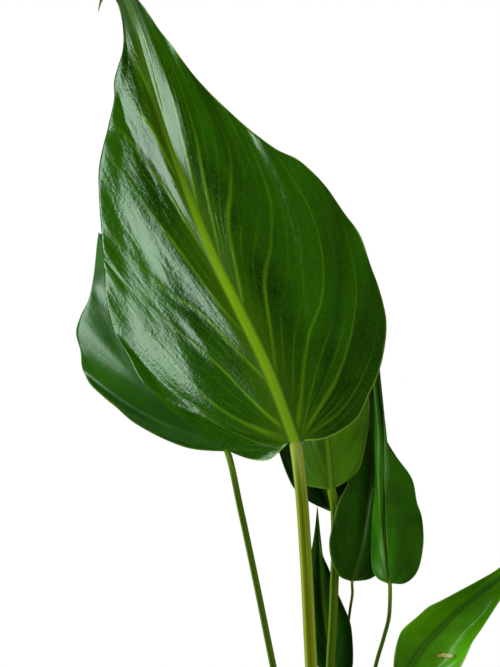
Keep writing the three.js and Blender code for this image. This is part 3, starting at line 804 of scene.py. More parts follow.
# %% Crown of the midrib
FULL_RIB_WIDTH = 5  # the channels and the crown of a narrower midrib are lower
CHANNEL_DEPTH = 0.07
CHANNEL_PLACE = 1.6  # half widths of the midrib out from its middle
CROWN_HEIGHT = 0.22
FOOT_REACH = 6  # round the blade's foot, where its mean normal is taken
FOOT_CALM = (1.5, 5)  # from here out the blade's own normals come back


def raise_rib(leaf, points, rib, share):
    channel = CHANNEL_DEPTH * np.exp(-((rib - CHANNEL_PLACE) ** 2) / 0.8) * (1 - share) ** 0.7
    crown = CROWN_HEIGHT * np.clip(1 - rib**2 / 1.6, 0, 1) ** 2 * (1 - share) ** 0.7
    points[:, 1] += (channel - crown) * leaf["petiole_width"] / FULL_RIB_WIDTH * leaf["rib_relief"]


def steady_normals(points, faces, foot):
    """The sheet's normals, all alike round its foot."""
    mesh = bpy.data.meshes.new("sheet")
    mesh.from_pydata(points.tolist(), [], faces)
    normals = np.array([vertex.normal for vertex in mesh.vertices])
    bpy.data.meshes.remove(mesh)
    from_foot = np.linalg.norm(points - foot, axis=1)
    steady = unit(normals[from_foot < FOOT_REACH].mean(0))
    return unit(normals + (steady - normals) * (1 - smoothstep(from_foot, *FOOT_CALM))[:, None])


print("crown over its channels, mm:", round(CHANNEL_DEPTH + CROWN_HEIGHT, 2))

# %% [markdown]
# Every piece is made in the same way: a mesh from points and faces, with the values that its finish
# reads kept as attributes, one number a point. Image maps could carry those values too, but they
# would need a flattened copy of the surface. The piece then rides on the plant's only body, gets
# its material, and says which imported node it replaces.

# %% Making a piece
BODY = "root"


def make_piece(name, points, faces, material, slot, replaces=None, values=None):
    """A smooth piece of the object from points in millimetres, riding on the object's body."""
    mesh = bpy.data.meshes.new(name)
    mesh.from_pydata((np.asarray(points) * MM).tolist(), [], [list(face) for face in faces])
    for key, numbers in (values or {}).items():
        layer = mesh.attributes.new(key, "FLOAT", "POINT")
        layer.data.foreach_set("value", np.asarray(numbers, np.float32))
    mesh.validate()
    mesh.shade_smooth()
    mesh.materials.append(material)
    piece = bpy.data.objects.new(name, mesh)
    bpy.context.scene.collection.objects.link(piece)
    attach(piece, BODY)
    if replaces:
        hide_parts(replaces)
    print(name, "faces:", len(mesh.polygons))
    return piece


# %% [markdown]
# The doubled sheet has three sets of points: the front, the back, and a ring just outside the rim,
# which rounds the edge. The back's faces are the front's, turned over.

# %% Blade
THICKNESS = 0.5
EDGE_THICKNESS = 0.26
EDGE_REACH = 1.5  # how far in from the margin the blade is thinner
EDGE_ROUNDING = 0.35
RIB_FADE = 1.3  # above 1, the rib at the back gets thin sooner
COLUMN_CROWDING = 1.15  # above 1, the columns lie closer together by the midrib


def doubled_sheet(leaf, points, faces, rim, normals, values):
    """Points, faces and values of the closed blade."""
    half = np.interp(values["edge"], [0, EDGE_REACH], [EDGE_THICKNESS / 2, THICKNESS / 2])[:, None]
    depth = (leaf["petiole_width"] - THICKNESS) * (1 - values["rib_share"]) ** RIB_FADE
    front = points + normals * half
    back = points - normals * half
    back[:, 1] += depth * np.sqrt(np.clip(1 - (values["rib"] / 1.25) ** 2, 0, 1))
    middle = (front[rim] + back[rim]) / 2
    outward = unit(middle - points.mean(0)) * EDGE_THICKNESS * EDGE_ROUNDING
    total = len(points)
    back_faces = [[total + a for a in face[::-1]] for face in faces]
    edge_faces = []
    for k, a in enumerate(rim):
        after = (k + 1) % len(rim)
        ring, next_ring, b = 2 * total + k, 2 * total + after, rim[after]
        edge_faces += [[a, ring, next_ring, b], [ring, total + a, total + b, next_ring]]
    closed = {key: np.concatenate([part, part, part[rim]]) for key, part in values.items()}
    closed["upper"] = np.concatenate([np.ones(total), np.zeros(total), np.full(len(rim), 0.5)])
    return np.concatenate([front, back, middle + outward]), faces + back_faces + edge_faces, closed


def blade_piece(leaf, rows, columns, material):
    midrib, margins = guide_curves(leaf)
    t = np.linspace(0, 1, rows + 1)
    w = np.linspace(0, 1, columns + 1) ** COLUMN_CROWDING
    halves = [blade_half(leaf, midrib, margins[side], side, t, w) for side in SIDES]
    points, values, index = join_halves(halves)
    faces = whole_faces(np.concatenate([grid_faces(index[0])[:, ::-1], grid_faces(index[1])]))
    values.update(measured_places(leaf, midrib, margins, points))
    normals = steady_normals(points, faces, midrib.at(0))
    raise_rib(leaf, points, values["rib"], values["rib_share"])
    points, faces, values = doubled_sheet(leaf, points, faces, rim_of(index), normals, values)
    name = leaf["name"]
    make_piece(name + "_leaf", points, faces, material, "leaf_blade", name + "_blade", values)


print("blade thickness, mm:", THICKNESS, "and at the margin", EDGE_THICKNESS)

# %% [markdown]
# Tools for finishes
#
# A finish is a tree of nodes. Built node by node in Blender's editor it is easy to see but hard to
# repeat, and in a script each node takes several lines. This helper keeps the trees short: each
# call adds one node and gives back its output. Colours are written as they are picked on a screen.

# %% Tools for finishes


def linear(red, green, blue):
    """A colour as picked on a screen, 0 to 255, as the linear value that a shader needs."""
    channels = []
    for value in (red, green, blue):
        share = value / 255
        channels.append(share / 12.92 if share <= 0.04045 else ((share + 0.055) / 1.055) ** 2.4)
    return (*channels, 1)


class Finish:
    """A new material with a Principled shader, and short calls that add nodes to it."""

    def __init__(self, name):
        self.material = bpy.data.materials.new(name)
        self.material.use_nodes = True
        self.tree = self.material.node_tree
        self.shader = self.tree.nodes["Principled BSDF"]

    def node(self, kind, **settings):
        made = self.tree.nodes.new(kind)
        for key, value in settings.items():
            setattr(made, key, value)
        return made

    def put(self, socket, value):
        if isinstance(value, bpy.types.NodeSocket):
            self.tree.links.new(value, socket)
        elif value is not None:
            socket.default_value = value

    def attribute(self, name):
        return self.node("ShaderNodeAttribute", attribute_name=name).outputs["Fac"]

    def math(self, operation, a, b=None):
        made = self.node("ShaderNodeMath", operation=operation)
        for socket, value in zip(made.inputs, (a, b)):
            self.put(socket, value)
        return made.outputs[0]

    def times(self, first, *others):
        for other in others:
            first = self.math("MULTIPLY", first, other)
        return first

    def fade(self, value, low, high, at_low=0.0, at_high=1.0):
        """at_low where value is under low, at_high where it is over high, smooth between."""
        made = self.node("ShaderNodeMapRange", interpolation_type="SMOOTHSTEP")
        for socket, given in zip(made.inputs, (value, low, high, at_low, at_high)):
            self.put(socket, given)
        return made.outputs["Result"]

    def mix(self, share, a, b):
        made = self.node("ShaderNodeMix", data_type="RGBA")
        for name, value in (("Factor", share), ("A", a), ("B", b)):
            self.put(made.inputs[name], value)
        return made.outputs["Result"]

    def place(self, scale=(1, 1, 1)):
        """The object's own coordinates, stretched."""
        made = self.node("ShaderNodeMapping")
        self.put(made.inputs["Vector"], self.node("ShaderNodeTexCoord").outputs["Object"])
        made.inputs["Scale"].default_value = scale
        return made.outputs[0]

    def vector(self, x, y, z=0.0):
        made = self.node("ShaderNodeCombineXYZ")
        for socket, value in zip(made.inputs, (x, y, z)):
            self.put(socket, value)
        return made.outputs[0]

    def noise(self, place, scale, detail=3.0, roughness=0.55):
        made = self.node("ShaderNodeTexNoise")
        self.put(made.inputs["Vector"], place)
        for name, value in (("Scale", scale), ("Detail", detail), ("Roughness", roughness)):
            made.inputs[name].default_value = value
        return made.outputs["Fac"]

    def cells(self, place, scale):
        """The distance to the middle of the nearest of many uneven cells."""
        made = self.node("ShaderNodeTexVoronoi")
        self.put(made.inputs["Vector"], place)
        made.inputs["Scale"].default_value = scale
        return made.outputs["Distance"]

    def bump(self, height, depth, below=None):
        """Relief of that depth in metres, laid over the relief below."""
        made = self.node("ShaderNodeBump")
        made.inputs["Distance"].default_value = depth
        self.put(made.inputs["Height"], height)
        self.put(made.inputs["Normal"], below)
        return made.outputs[0]

    def done(self, colour, roughness, relief=None, **uniform):
        """The material, with what is the same all over set on the shader's own sockets."""
        self.put(self.shader.inputs["Base Color"], colour)
        self.put(self.shader.inputs["Roughness"], roughness)
        self.put(self.shader.inputs["Normal"], relief)
        for name, value in uniform.items():
            self.shader.inputs[name.replace("_", " ")].default_value = value
        return self.material


print("a middle grey, as the shader has it:", round(linear(128, 128, 128)[0], 3))

# %% [markdown]
# Leaf tissue
#
# Under its clear waxy skin a leaf is deep green, mottled in wide patches and finely dotted, and
# olive beside the midrib. Far out from the midrib it is painted lighter: a painted glow for light
# that shines through the thin blade. A photographed texture would show all this at once, but it
# would put one leaf's marks on every leaf. Here noise in the leaf's own coordinates does it, one
# broad and one fine. Two more sizes are set here for the veins and the skin.

# %% Leaf tissue
MOTTLE = 30  # noise scales, in waves for each metre
DOTS = 1100
BREAKS = 45
CRINKLES = 700


def leaf_places(finish, look):
    """What the mesh and the noise say about each place on a leaf, by name."""
    names = ("vein", "spacing", "out", "rib", "rib_share", "edge", "upper", "wrinkled")
    at = {name: finish.attribute(name) for name in names}
    at["rib"] = finish.math("DIVIDE", at["rib"], look["rib_width"])
    at["place"] = finish.place()
    at["breaks"] = finish.noise(at["place"], BREAKS, 2)
    at["crinkles"] = finish.noise(at["place"], CRINKLES, 3, 0.6)
    return at


def tissue(finish, look, at):
    dots = finish.noise(at["place"], DOTS, 2)
    mottled = finish.fade(finish.noise(at["place"], MOTTLE, 3), 0.36, 0.66)
    grain_and_glow = look["grain_and_glow"]
    colour = finish.mix(mottled, look["dark"], look["mid"])
    # Painted light: lighter far out from the midrib, for light that shines through the blade there.
    colour = finish.mix(finish.fade(at["out"], 32, 62, 0, 0.4 * grain_and_glow), colour, look["far"])
    colour = finish.mix(finish.fade(dots, 0.4, 0.68, 0, 0.4 * grain_and_glow), colour, look["olive_and_fold_shade"])
    colour = finish.mix(finish.fade(dots, 0.3, 0.5, 0.15 * grain_and_glow, 0), colour, look["deep"])
    # Olive beside the midrib. On leaf 7 this olive is darker than its greens, so there the band is a
    # painted shade in the fold along its midrib.
    return finish.mix(finish.fade(at["rib"], 0.8, 6, 0.75, 0), colour, look["olive_and_fold_shade"])


print("noise sizes in a leaf, mm:", [round(1000 / scale, 1) for scale in (MOTTLE, BREAKS, CRINKLES, DOTS)])

# %% [markdown]
# Veins and midrib
#
# The veins are pale lines, wide near the midrib and hair-thin near the margin, with two fainter
# ones between each pair, and noise breaks them up. The midrib is a yellow-green band with fine
# strands in it. They could be painted on an image, which needs an unwrapped leaf. The vein count
# and the distance to the midrib draw them sharply at any size, and exactly over the relief.

# %% Veins and midrib
VEIN_WIDTH = 0.75
SIDE_VEINS = 1 / 3  # two thin veins between each pair of main ones


def vein_lines(finish, at, width, every=1.0):
    """1 on the lines where the count is a multiple of every, fading to 0 a width away."""
    scaled = finish.math("DIVIDE", at["vein"], every)
    shifted = finish.math("FRACT", finish.math("ADD", scaled, 0.5))
    away = finish.math("ABSOLUTE", finish.math("SUBTRACT", shifted, 0.5))
    return finish.fade(finish.times(away, at["spacing"], every), 0, width, 1, 0)


def with_veins(finish, look, at, colour):
    out, breaks, strength = at["out"], at["breaks"], look["vein_strength"]
    not_rib = finish.fade(at["rib"], 0.9, 1.6)
    thin = vein_lines(finish, at, 0.8 * VEIN_WIDTH, SIDE_VEINS)
    thin = finish.times(thin, not_rib, finish.fade(out, 2, 14), finish.fade(out, 10, 60, 1, 0.45))
    thin = finish.times(thin, 0.35 * strength, finish.fade(breaks, 0.35, 0.65, 0.3, 1.3))
    main = vein_lines(finish, at, finish.fade(out, 4, 60, 2.2 * VEIN_WIDTH, VEIN_WIDTH))
    main = finish.times(main, not_rib, finish.fade(out, 5, 70, 1, 0.4))
    main = finish.times(main, strength, finish.fade(breaks, 0.3, 0.7, 1.2, 0.5))
    main = finish.times(main, finish.fade(at["edge"], 1, 12, 0.2, 1))
    return finish.mix(main, finish.mix(thin, colour, look["vein"]), look["vein"])


def with_rib(finish, look, at, colour):
    share = at["rib_share"]
    strands = finish.noise(finish.vector(finish.times(at["rib"], 5), finish.times(share, 7)), 1, 3)
    pale = finish.mix(finish.fade(share, 0, 0.3), look["rib_foot"], look["rib"])
    pale = finish.mix(finish.fade(strands, 0.35, 0.62, 0.35, 0), pale, look["vein"])
    band = finish.fade(at["rib"], 0.45, finish.fade(share, 0, 0.25, 1.1, 1.35), 1, 0)
    band = finish.times(band, finish.fade(share, 0.3, 0.7, 1, 0.12), look["rib_strength"])
    return finish.mix(band, colour, pale)


print("vein width, mm:", VEIN_WIDTH, "and by the midrib", round(2.2 * VEIN_WIDTH, 2))

# %% [markdown]
# Scar
#
# The leaf at the lower right has a healed tear: a pale dry patch with a brown rim. It could be cut
# out of the mesh, but it has healed flat. It is drawn by the distance to its middle, stretched in
# width, and noise makes its edge ragged.

# %% Scar
SCAR_STRETCH = (0.8, 0, 2.2)
SCAR_RAGGED = 0.005
SCAR_RINGS = ((0.0052, 0.006, linear(70, 60, 10)), (0.0044, 0.0052, linear(170, 158, 84)))


def with_scar(finish, look, at, colour):
    away = finish.node("ShaderNodeVectorMath", operation="DISTANCE")
    finish.put(away.inputs[0], finish.place(SCAR_STRETCH))
    away.inputs[1].default_value = [a * b for a, b in zip(look["scar"], SCAR_STRETCH)]
    ragged = finish.times(finish.noise(at["place"], 500, 3), SCAR_RAGGED)
    ragged = finish.math("ADD", away.outputs["Value"], ragged)
    for inner, outer, shade in SCAR_RINGS:
        colour = finish.mix(finish.fade(ragged, inner, outer, 0.85, 0), colour, shade)
    return colour


print("scar width, mm:", round(2000 * (SCAR_RINGS[0][1] - SCAR_RAGGED / 2) / SCAR_STRETCH[0], 1))

# %% [markdown]
# Waxy skin
#
# The skin is glossy, and fine wrinkles that run with the veins break the sheen into streaks. They
# are too fine for the mesh, so they are bump. Strong bump turns a leaf into leather, and hides the
# bands that the pleats make, so these are only about 0.1 to 0.2 mm deep. The midrib is calm,
# the underside is paler and duller, and the tip has nearly no gloss.

# %% Waxy skin
WAVES, WAVE_DEPTH = 220, 0.0001  # depths in metres
STREAK_DEPTH = 0.00022
CRINKLE_DEPTH = 0.00011


def leaf_relief(finish, at):
    calm = finish.times(finish.fade(at["rib"], 0.8, 4, 0.2, 1), finish.fade(at["spacing"], 2, 7))
    calm = finish.times(calm, at["wrinkled"])
    with_the_veins = finish.vector(finish.times(at["out"], 0.12), finish.times(at["vein"], 6))
    relief = None
    for height, depth in (
        (finish.noise(at["place"], WAVES, 2, 0.5), WAVE_DEPTH),
        (finish.noise(with_the_veins, 1, 3, 0.6), STREAK_DEPTH),
        (at["crinkles"], CRINKLE_DEPTH),
    ):
        relief = finish.bump(finish.times(height, calm), depth, relief)
    return relief


def leaf_roughness(finish, look, at):
    rough = look["roughness"]
    for more in (
        finish.times(at["crinkles"], 0.08),
        finish.fade(at["upper"], 0, 1, 0.25, 0),
        finish.fade(at["rib"], 0.8, 2.5, look["rib_rough"], 0),
        finish.fade(at["rib_share"], 0.8, 0.87, 0, look["tip_rough"]),
    ):
        rough = finish.math("ADD", rough, more)
    return rough


def leaf_finish(leaf):
    look = leaf["look"]
    finish = Finish(leaf["name"] + "_skin")
    at = leaf_places(finish, look)
    colour = with_rib(finish, look, at, with_veins(finish, look, at, tissue(finish, look, at)))
    if look["scar"]:
        colour = with_scar(finish, look, at, colour)
    line = finish.fade(at["edge"], 0.1, 0.8, look["margin_strength"], 0)
    colour = finish.mix(line, colour, look["margin"])
    colour = finish.mix(at["upper"], finish.mix(0.45, colour, look["under"]), colour)
    rough = leaf_roughness(finish, look, at)
    return finish.done(colour, rough, leaf_relief(finish, at), Specular_IOR_Level=look["gloss"])


print("deepest wrinkles, mm:", round(STREAK_DEPTH / MM, 2))

# %% [markdown]
# The eight leaves
#
# The leaves aren't alike. The large one is mature, dark and glossy with clear veins. The one that
# leans out to the right and the one behind the large leaf's foot are young and light green. The
# ones at the back get nearly black-green colours: a painted shade, for the shadow of the leaves in
# front of them. One finish with eight sets of values could be a node group with inputs, but a new
# tree for each leaf keeps every value on its own node.

# %% The eight leaves
BASE_LOOK = dict(
    deep=linear(6, 32, 0), dark=linear(11, 42, 1), mid=linear(26, 64, 1), olive_and_fold_shade=linear(52, 80, 1),
    far=linear(42, 94, 1), vein=linear(84, 118, 5), rib=linear(112, 144, 3),
    rib_foot=linear(106, 136, 8), margin=linear(130, 160, 50), under=linear(84, 120, 50),
    vein_strength=0.7, rib_strength=1.0, margin_strength=0.8,
    roughness=0.13, rib_rough=0.08, tip_rough=0.6, rib_width=1, gloss=0.5, grain_and_glow=1, scar=None,
)
PLAIN = dict(vein_strength=0.1, rib_strength=0.2, rib_width=0.5, margin_strength=0.3,
             roughness=0.22, grain_and_glow=0.2)
LEAF_LOOKS = {
    "leaf_1": dict(),
    "leaf_2": dict(PLAIN, dark=linear(24, 62, 0), mid=linear(34, 80, 0)),
    "leaf_3": dict(PLAIN, dark=linear(40, 76, 1), mid=linear(60, 98, 1), vein_strength=0.2,
                   rib_strength=0.4, gloss=0.2, roughness=0.3),
    "leaf_4": dict(PLAIN, dark=linear(28, 70, 0), mid=linear(44, 98, 0), gloss=0.2,
                   roughness=0.28, rib_strength=0.4),
    "leaf_5": dict(PLAIN, dark=linear(24, 62, 0), mid=linear(34, 76, 0), gloss=0.25, roughness=0.3),
    # Painted shade: nearly black greens for a leaf in the shadow of the others.
    "leaf_6": dict(PLAIN, dark=linear(4, 34, 0), mid=linear(14, 46, 0), gloss=0.02, roughness=0.5),
    # Its olive is dark: the band beside its midrib is a painted shade in the fold there.
    "leaf_7": dict(PLAIN, dark=linear(56, 108, 0), mid=linear(77, 140, 0), olive_and_fold_shade=linear(30, 76, 0),
                   vein_strength=0.15, gloss=0.25, scar=(0.0485, 0, 0.2205)),
    # Painted shade: nearly black greens for a leaf in the shadow of the others.
    "leaf_8": dict(PLAIN, dark=linear(0, 14, 0), mid=linear(2, 18, 0), gloss=0.02, roughness=0.5),
}
GRIDS = {"leaf_1": (230, 64), "leaf_2": (130, 44)}  # rows and columns of each half
PLAIN_GRID = (100, 34)

for leaf in LEAVES:
    leaf["look"] = {**BASE_LOOK, **LEAF_LOOKS[leaf["name"]]}
    blade_piece(leaf, *GRIDS.get(leaf["name"], PLAIN_GRID), leaf_finish(leaf))

# %% [markdown]
# Leaf stalks
#
# A stalk is round behind and grooved in front, with a soft ridge on each side of the groove. It is
# thickest where it clasps the stem, and it passes into the midrib without a joint. A bevelled curve
# is the usual way to make a tube, but it can't hold the groove to the front. So the stalk is swept
# along its guide points ring by ring. It runs on into the midrib a little way, so that no gap shows.

# %% Path of a stalk
STEM_RADIUS = 9
RUN_IN = 2.4  # how far the stalk runs on along the midrib, in stalk widths
RUN_IN_TAPER = 0.6
PROUD = 0.15  # how far it stands in front of the blade where it meets it
ROOT_DROP = 4
SHOULDER_RISE = 5


def stalk_path(leaf):
    """The stalk's curve from inside the stem into the midrib, and the share where they meet."""
    degrees, height = leaf["node"]
    angle = math.radians(degrees)
    outward = np.array([math.cos(angle), math.sin(angle), 0])
    up = np.array([0, 0, 1.0])
    root = outward * STEM_RADIUS / 2 + up * (height - ROOT_DROP)
    shoulder = outward * (STEM_RADIUS + leaf["foot_width"] / 2) + up * (height + SHOULDER_RISE)
    width = leaf["petiole_width"]
    midrib = Curve(leaf["midrib"])
    inside = []
    for run_in, sunk in ((0, -PROUD), (RUN_IN / 2, 0.04 * width), (RUN_IN, 0.16 * width)):
        point = midrib.at(run_in * width / midrib.length)
        radius = width / 2 * (1 - RUN_IN_TAPER * run_in / RUN_IN)
        point[1] += radius - THICKNESS / 2 + sunk
        inside.append(point)
    path = Curve([root, shoulder, *leaf["stalk"], *inside])
    foot = nearest(path.points, inside[:1])[0].argmin()
    return path, path.share[foot]


print("stalk lengths, mm:", [round(stalk_path(leaf)[0].length) for leaf in LEAVES])

# %% [markdown]
# Each ring lies square to the path, and its front is turned to -Y, where the groove is. The groove
# and the ridges are soft waves round the ring, and they fill up where the stalk meets the blade.

# %% Stalk
STALK_RINGS = 110
STALK_SIDES = 32
GROOVE_DEPTH, GROOVE_WIDTH = 0.3, 0.5  # as a share of the radius, and in radians round it
RIDGE_HEIGHT, RIDGE_PLACE, RIDGE_WIDTH = 0.06, 0.95, 0.3
GROOVE_RUN_OUT = 0.06  # share of the path in which the groove fills up


def stalk_piece(leaf, material):
    path, meeting = stalk_path(leaf)
    share = np.linspace(0, 1, STALK_RINGS + 1)
    along = path.along(share)
    across = unit(np.cross(along, [0, -1, 0]))
    facing = unit(np.cross(across, along))
    foot = (1 - share) ** 3
    radius = (leaf["petiole_width"] * (1 - foot) + leaf["foot_width"] * foot) / 2
    turn = np.linspace(-math.pi, math.pi, STALK_SIDES, endpoint=False)
    groove = GROOVE_DEPTH * np.exp(-((turn / GROOVE_WIDTH) ** 2))
    ridge = RIDGE_HEIGHT * np.exp(-(((np.abs(turn) - RIDGE_PLACE) / RIDGE_WIDTH) ** 2))
    filled = smoothstep(share, meeting - GROOVE_RUN_OUT, meeting)[:, None]
    narrow = 1 - RUN_IN_TAPER * np.clip((share - meeting) / (1 - meeting), 0, 1)
    reach = radius[:, None] * (1 - (groove - ridge) * (1 - filled)) * narrow[:, None]
    points = (
        path.at(share)[:, None]
        + facing[:, None] * (reach * np.cos(turn))[..., None]
        + across[:, None] * (reach * np.sin(turn))[..., None]
    )
    index = np.arange(reach.size).reshape(reach.shape)
    faces = grid_faces(index, closed=True).tolist()
    faces += [index[0][::-1].tolist(), index[-1].tolist()]
    rings = len(share)
    values = {
        "turn": np.tile(np.abs(turn), rings), "aside": np.tile(np.sin(turn), rings),
        "ahead": np.tile(np.cos(turn), rings), "height": np.repeat(share / meeting, STALK_SIDES),
    }
    name = leaf["name"]
    make_piece(name + "_stalk", points.reshape(-1, 3), faces, material, "leaf_stalk",
               name + "_petiole", values)


print("points in a stalk:", STALK_SIDES * (STALK_RINGS + 1))

# %% [markdown]
# Stalk finish
#
# The stalk's skin is olive green, smooth and waxy, with fine lengthwise streaks. The groove is
# darker, a painted shade in its hollow, the ridges beside it are paler, and the foot is lighter
# where it sheathes the stem. A gradient along Z would be simpler, but the stalks lean and curve, so
# the finish reads the share of the stalk's own length and the place round its ring. The front stalk
# stands in the light, so it gets a lit copy of the finish with paler colours, and the rest a shaded
# copy with darker ones: painted light and painted shade.

# %% Stalk finish


def stalk_finish(name, deep, light, rim, joint):
    finish = Finish(name)
    turn, height, aside, ahead = [finish.attribute(key) for key in ("turn", "height", "aside", "ahead")]
    streaks = finish.noise(finish.vector(aside, ahead, finish.times(height, 0.5)), 5, 3)
    patches = finish.noise(finish.place((30, 30, 12)), 1, 2)
    on_ridge = finish.times(finish.fade(turn, 0.5, 0.9), finish.fade(turn, 1.0, 1.5, 1, 0), 0.5)
    colour = deep
    for share, shade in (
        (finish.fade(streaks, 0.2, 0.8), light),
        (finish.fade(patches, 0.4, 0.75, 0, 0.3), deep),
        # Painted shade: the groove is darkened where it is hollow.
        (finish.fade(turn, 0.1, 0.45, 0.5, 0), deep),
        (on_ridge, rim),
        (finish.fade(height, 0, 0.12, 0.5, 0), rim),
        (finish.fade(height, 0.88, 1, 0, 0.55), rim),
        (finish.fade(height, 0.99, 1.03), joint),
    ):
        colour = finish.mix(share, colour, shade)
    rough = finish.fade(patches, 0, 1, 0.45, 0.55)
    return finish.done(colour, rough, finish.bump(streaks, 0.0001), Specular_IOR_Level=0.08)


# Painted light and shade: a lit copy for the front stalk and a darker, shaded copy for the rest.
lit_front_stalk = stalk_finish("lit_front_stalk", linear(62, 74, 0), linear(124, 138, 4),
                           linear(150, 162, 70), linear(100, 128, 10))
shaded_stalk = stalk_finish("stalk", linear(46, 66, 0), linear(68, 90, 2),
                            linear(104, 128, 24), linear(70, 104, 4))
for leaf in LEAVES:
    stalk_piece(leaf, lit_front_stalk if leaf["name"] == "leaf_1" else shaded_stalk)

# %% [markdown]
# Turned pieces
#
# The pot, the stem and the bed of soil are round, so one helper spins a profile about the upright
# axis. A Screw modifier does the same, but then the points can't be made uneven before they become
# a mesh. The profile's corners are rounded by its own points, which keeps every edge soft.

# %% Turned pieces
AXIS_RADIUS = 0.01  # a profile ends this close to the axis, in a tiny disc


def turned(profile, sides, uneven=None):
    """Points and faces of a closed profile of (radius, height), spun about the upright axis."""
    profile = np.asarray(profile, float)
    angle = np.linspace(0, 2 * math.pi, sides, endpoint=False)
    radius = np.repeat(profile[:, :1], sides, 1)
    height = np.repeat(profile[:, 1:], sides, 1)
    if uneven is not None:
        radius, height = uneven(radius, height, angle[None])
    rings = np.stack([radius * np.cos(angle), radius * np.sin(angle), height], -1)
    index = np.arange(radius.size).reshape(radius.shape)
    faces = grid_faces(index, closed=True).tolist()
    return rings.reshape(-1, 3), faces + [index[0][::-1].tolist(), index[-1].tolist()]


def rounded(corners, radius, steps=5):
    """A profile through corner points, with each corner but the two ends rounded."""
    corners = np.asarray(corners, float)
    profile = [corners[0]]
    for before, corner, after in zip(corners, corners[1:], corners[2:]):
        to_before, to_after = unit(before - corner), unit(after - corner)
        room = min(np.linalg.norm(before - corner), np.linalg.norm(after - corner)) / 2
        start = corner + to_before * min(radius, room)
        end = corner + to_after * min(radius, room)
        for u in np.linspace(0, 1, steps):
            profile.append(start * (1 - u) ** 2 + 2 * corner * u * (1 - u) + end * u * u)
    profile.append(corners[-1])
    return np.array(profile)


print("points on a rounded corner:", len(rounded([[0, 0], [10, 0], [10, 10]], 2)) - 2)

# %% [markdown]
# Pot
#
# A hand-finished terracotta pot: a tapering wall under a thick collar, with a flat floor and three
# drain holes off its middle. The holes could be left out of the profile only if they were on the
# axis. They are cut with a Boolean, as a potter cuts them with a tube.

# %% Pot
POT_HEIGHT = 125
RIM_RADIUS = 70
BASE_RADIUS = 46
WALL = 6
FLOOR = 8
COLLAR_HEIGHT = 28
COLLAR_STEP = 3.5
COLLAR_DRAFT = (2, 0.2)  # how far the collar stays inside the rim's radius, at its foot and top
CORNER_RADIUS = 2.2
POT_SIDES = 162


def wall_radius(height):
    return BASE_RADIUS + (RIM_RADIUS - COLLAR_STEP - BASE_RADIUS) * height / POT_HEIGHT


def pot_body():
    collar_foot = POT_HEIGHT - COLLAR_HEIGHT
    corners = [
        [AXIS_RADIUS, 0], [BASE_RADIUS, 0], [wall_radius(collar_foot), collar_foot],
        [RIM_RADIUS - COLLAR_DRAFT[0], collar_foot], [RIM_RADIUS - COLLAR_DRAFT[1], POT_HEIGHT],
        [wall_radius(POT_HEIGHT) - WALL, POT_HEIGHT], [wall_radius(FLOOR) - WALL, FLOOR],
        [AXIS_RADIUS, FLOOR],
    ]
    return turned(rounded(corners, CORNER_RADIUS), POT_SIDES)


print("wall's radius at the foot of the collar, mm:", round(wall_radius(POT_HEIGHT - COLLAR_HEIGHT), 1))

# %% [markdown]
# The cutter is one mesh with three cylinders. Its modifier is applied at once, so that no cutter
# is left in the scene.

# %% Drain holes
DRAIN_HOLES = 3
DRAIN_RADIUS = 4.5
DRAIN_CIRCLE = 24


def drain_cutter():
    cutters = bmesh.new()
    for k in range(DRAIN_HOLES):
        angle = math.pi / 2 + k * 2 * math.pi / DRAIN_HOLES
        made = bmesh.ops.create_cone(
            cutters, cap_ends=True, segments=32, radius1=DRAIN_RADIUS * MM,
            radius2=DRAIN_RADIUS * MM, depth=3 * FLOOR * MM,
        )
        place = Vector((math.cos(angle), math.sin(angle), 0)) * DRAIN_CIRCLE * MM
        bmesh.ops.translate(cutters, verts=made["verts"], vec=place)
    mesh = bpy.data.meshes.new("drain_cutters")
    cutters.to_mesh(mesh)
    cutters.free()
    tool = bpy.data.objects.new("drain_cutters", mesh)
    bpy.context.scene.collection.objects.link(tool)
    return tool


def cut_away(piece, tool):
    """Takes the tool's shape out of the piece, and removes the tool."""
    cut = piece.modifiers.new("drain", "BOOLEAN")
    cut.object = tool
    cut.operation = "DIFFERENCE"
    cut.solver = "EXACT"
    graph = bpy.context.evaluated_depsgraph_get()
    result = bpy.data.meshes.new_from_object(piece.evaluated_get(graph))
    piece.modifiers.clear()
    piece.data = result
    result.shade_smooth()
    bpy.data.objects.remove(tool)
    print(piece.name, "faces after the cut:", len(result.polygons))


# %% [markdown]
# Fired clay
#
# Fired clay is matt and speckled. Damp soil behind it draws salts to the outside, which dry as a
# pale bloom in cloudy patches. Fine rings stay from the turning. One flat orange would look like
# plastic, so the colour has clouds, speckles and bloom, and the rings are a noise squeezed along Z.

# %% Fired clay


def terracotta_finish():
    finish = Finish("fired_clay")
    place = finish.place()
    clouds = finish.noise(place, 22, 4)
    speckle = finish.noise(place, 900, 2)
    bloom = finish.noise(place, 26, 6, 0.6)
    rings = finish.noise(finish.place((3, 3, 900)), 1, 2)
    colour = finish.mix(finish.fade(clouds, 0.3, 0.7), linear(164, 84, 54), linear(192, 108, 74))
    colour = finish.mix(finish.fade(speckle, 0.55, 0.8, 0, 0.4), colour, linear(120, 60, 40))
    colour = finish.mix(finish.fade(bloom, 0.46, 0.74, 0, 0.38), colour, linear(216, 184, 160))
    relief = finish.bump(speckle, 0.0002, finish.bump(rings, 0.0004))
    rough = finish.fade(clouds, 0, 1, 0.8, 0.92)
    return finish.done(colour, rough, relief, Specular_IOR_Level=0.25)


pot = make_piece("terracotta_pot", *pot_body(), terracotta_finish(), "terracotta", "pot")
cut_away(pot, drain_cutter())

# %% [markdown]
# Stem
#
# The stem is short and upright. Each old leaf has left a ring on it, and the stalks now on it
# spring from between those rings. Its foot stands in the soil, and its top is a low dome. A
# cylinder with a bump map would do from far away, but here the rings are in the profile, and slow
# waves keep the stem from being perfectly round.

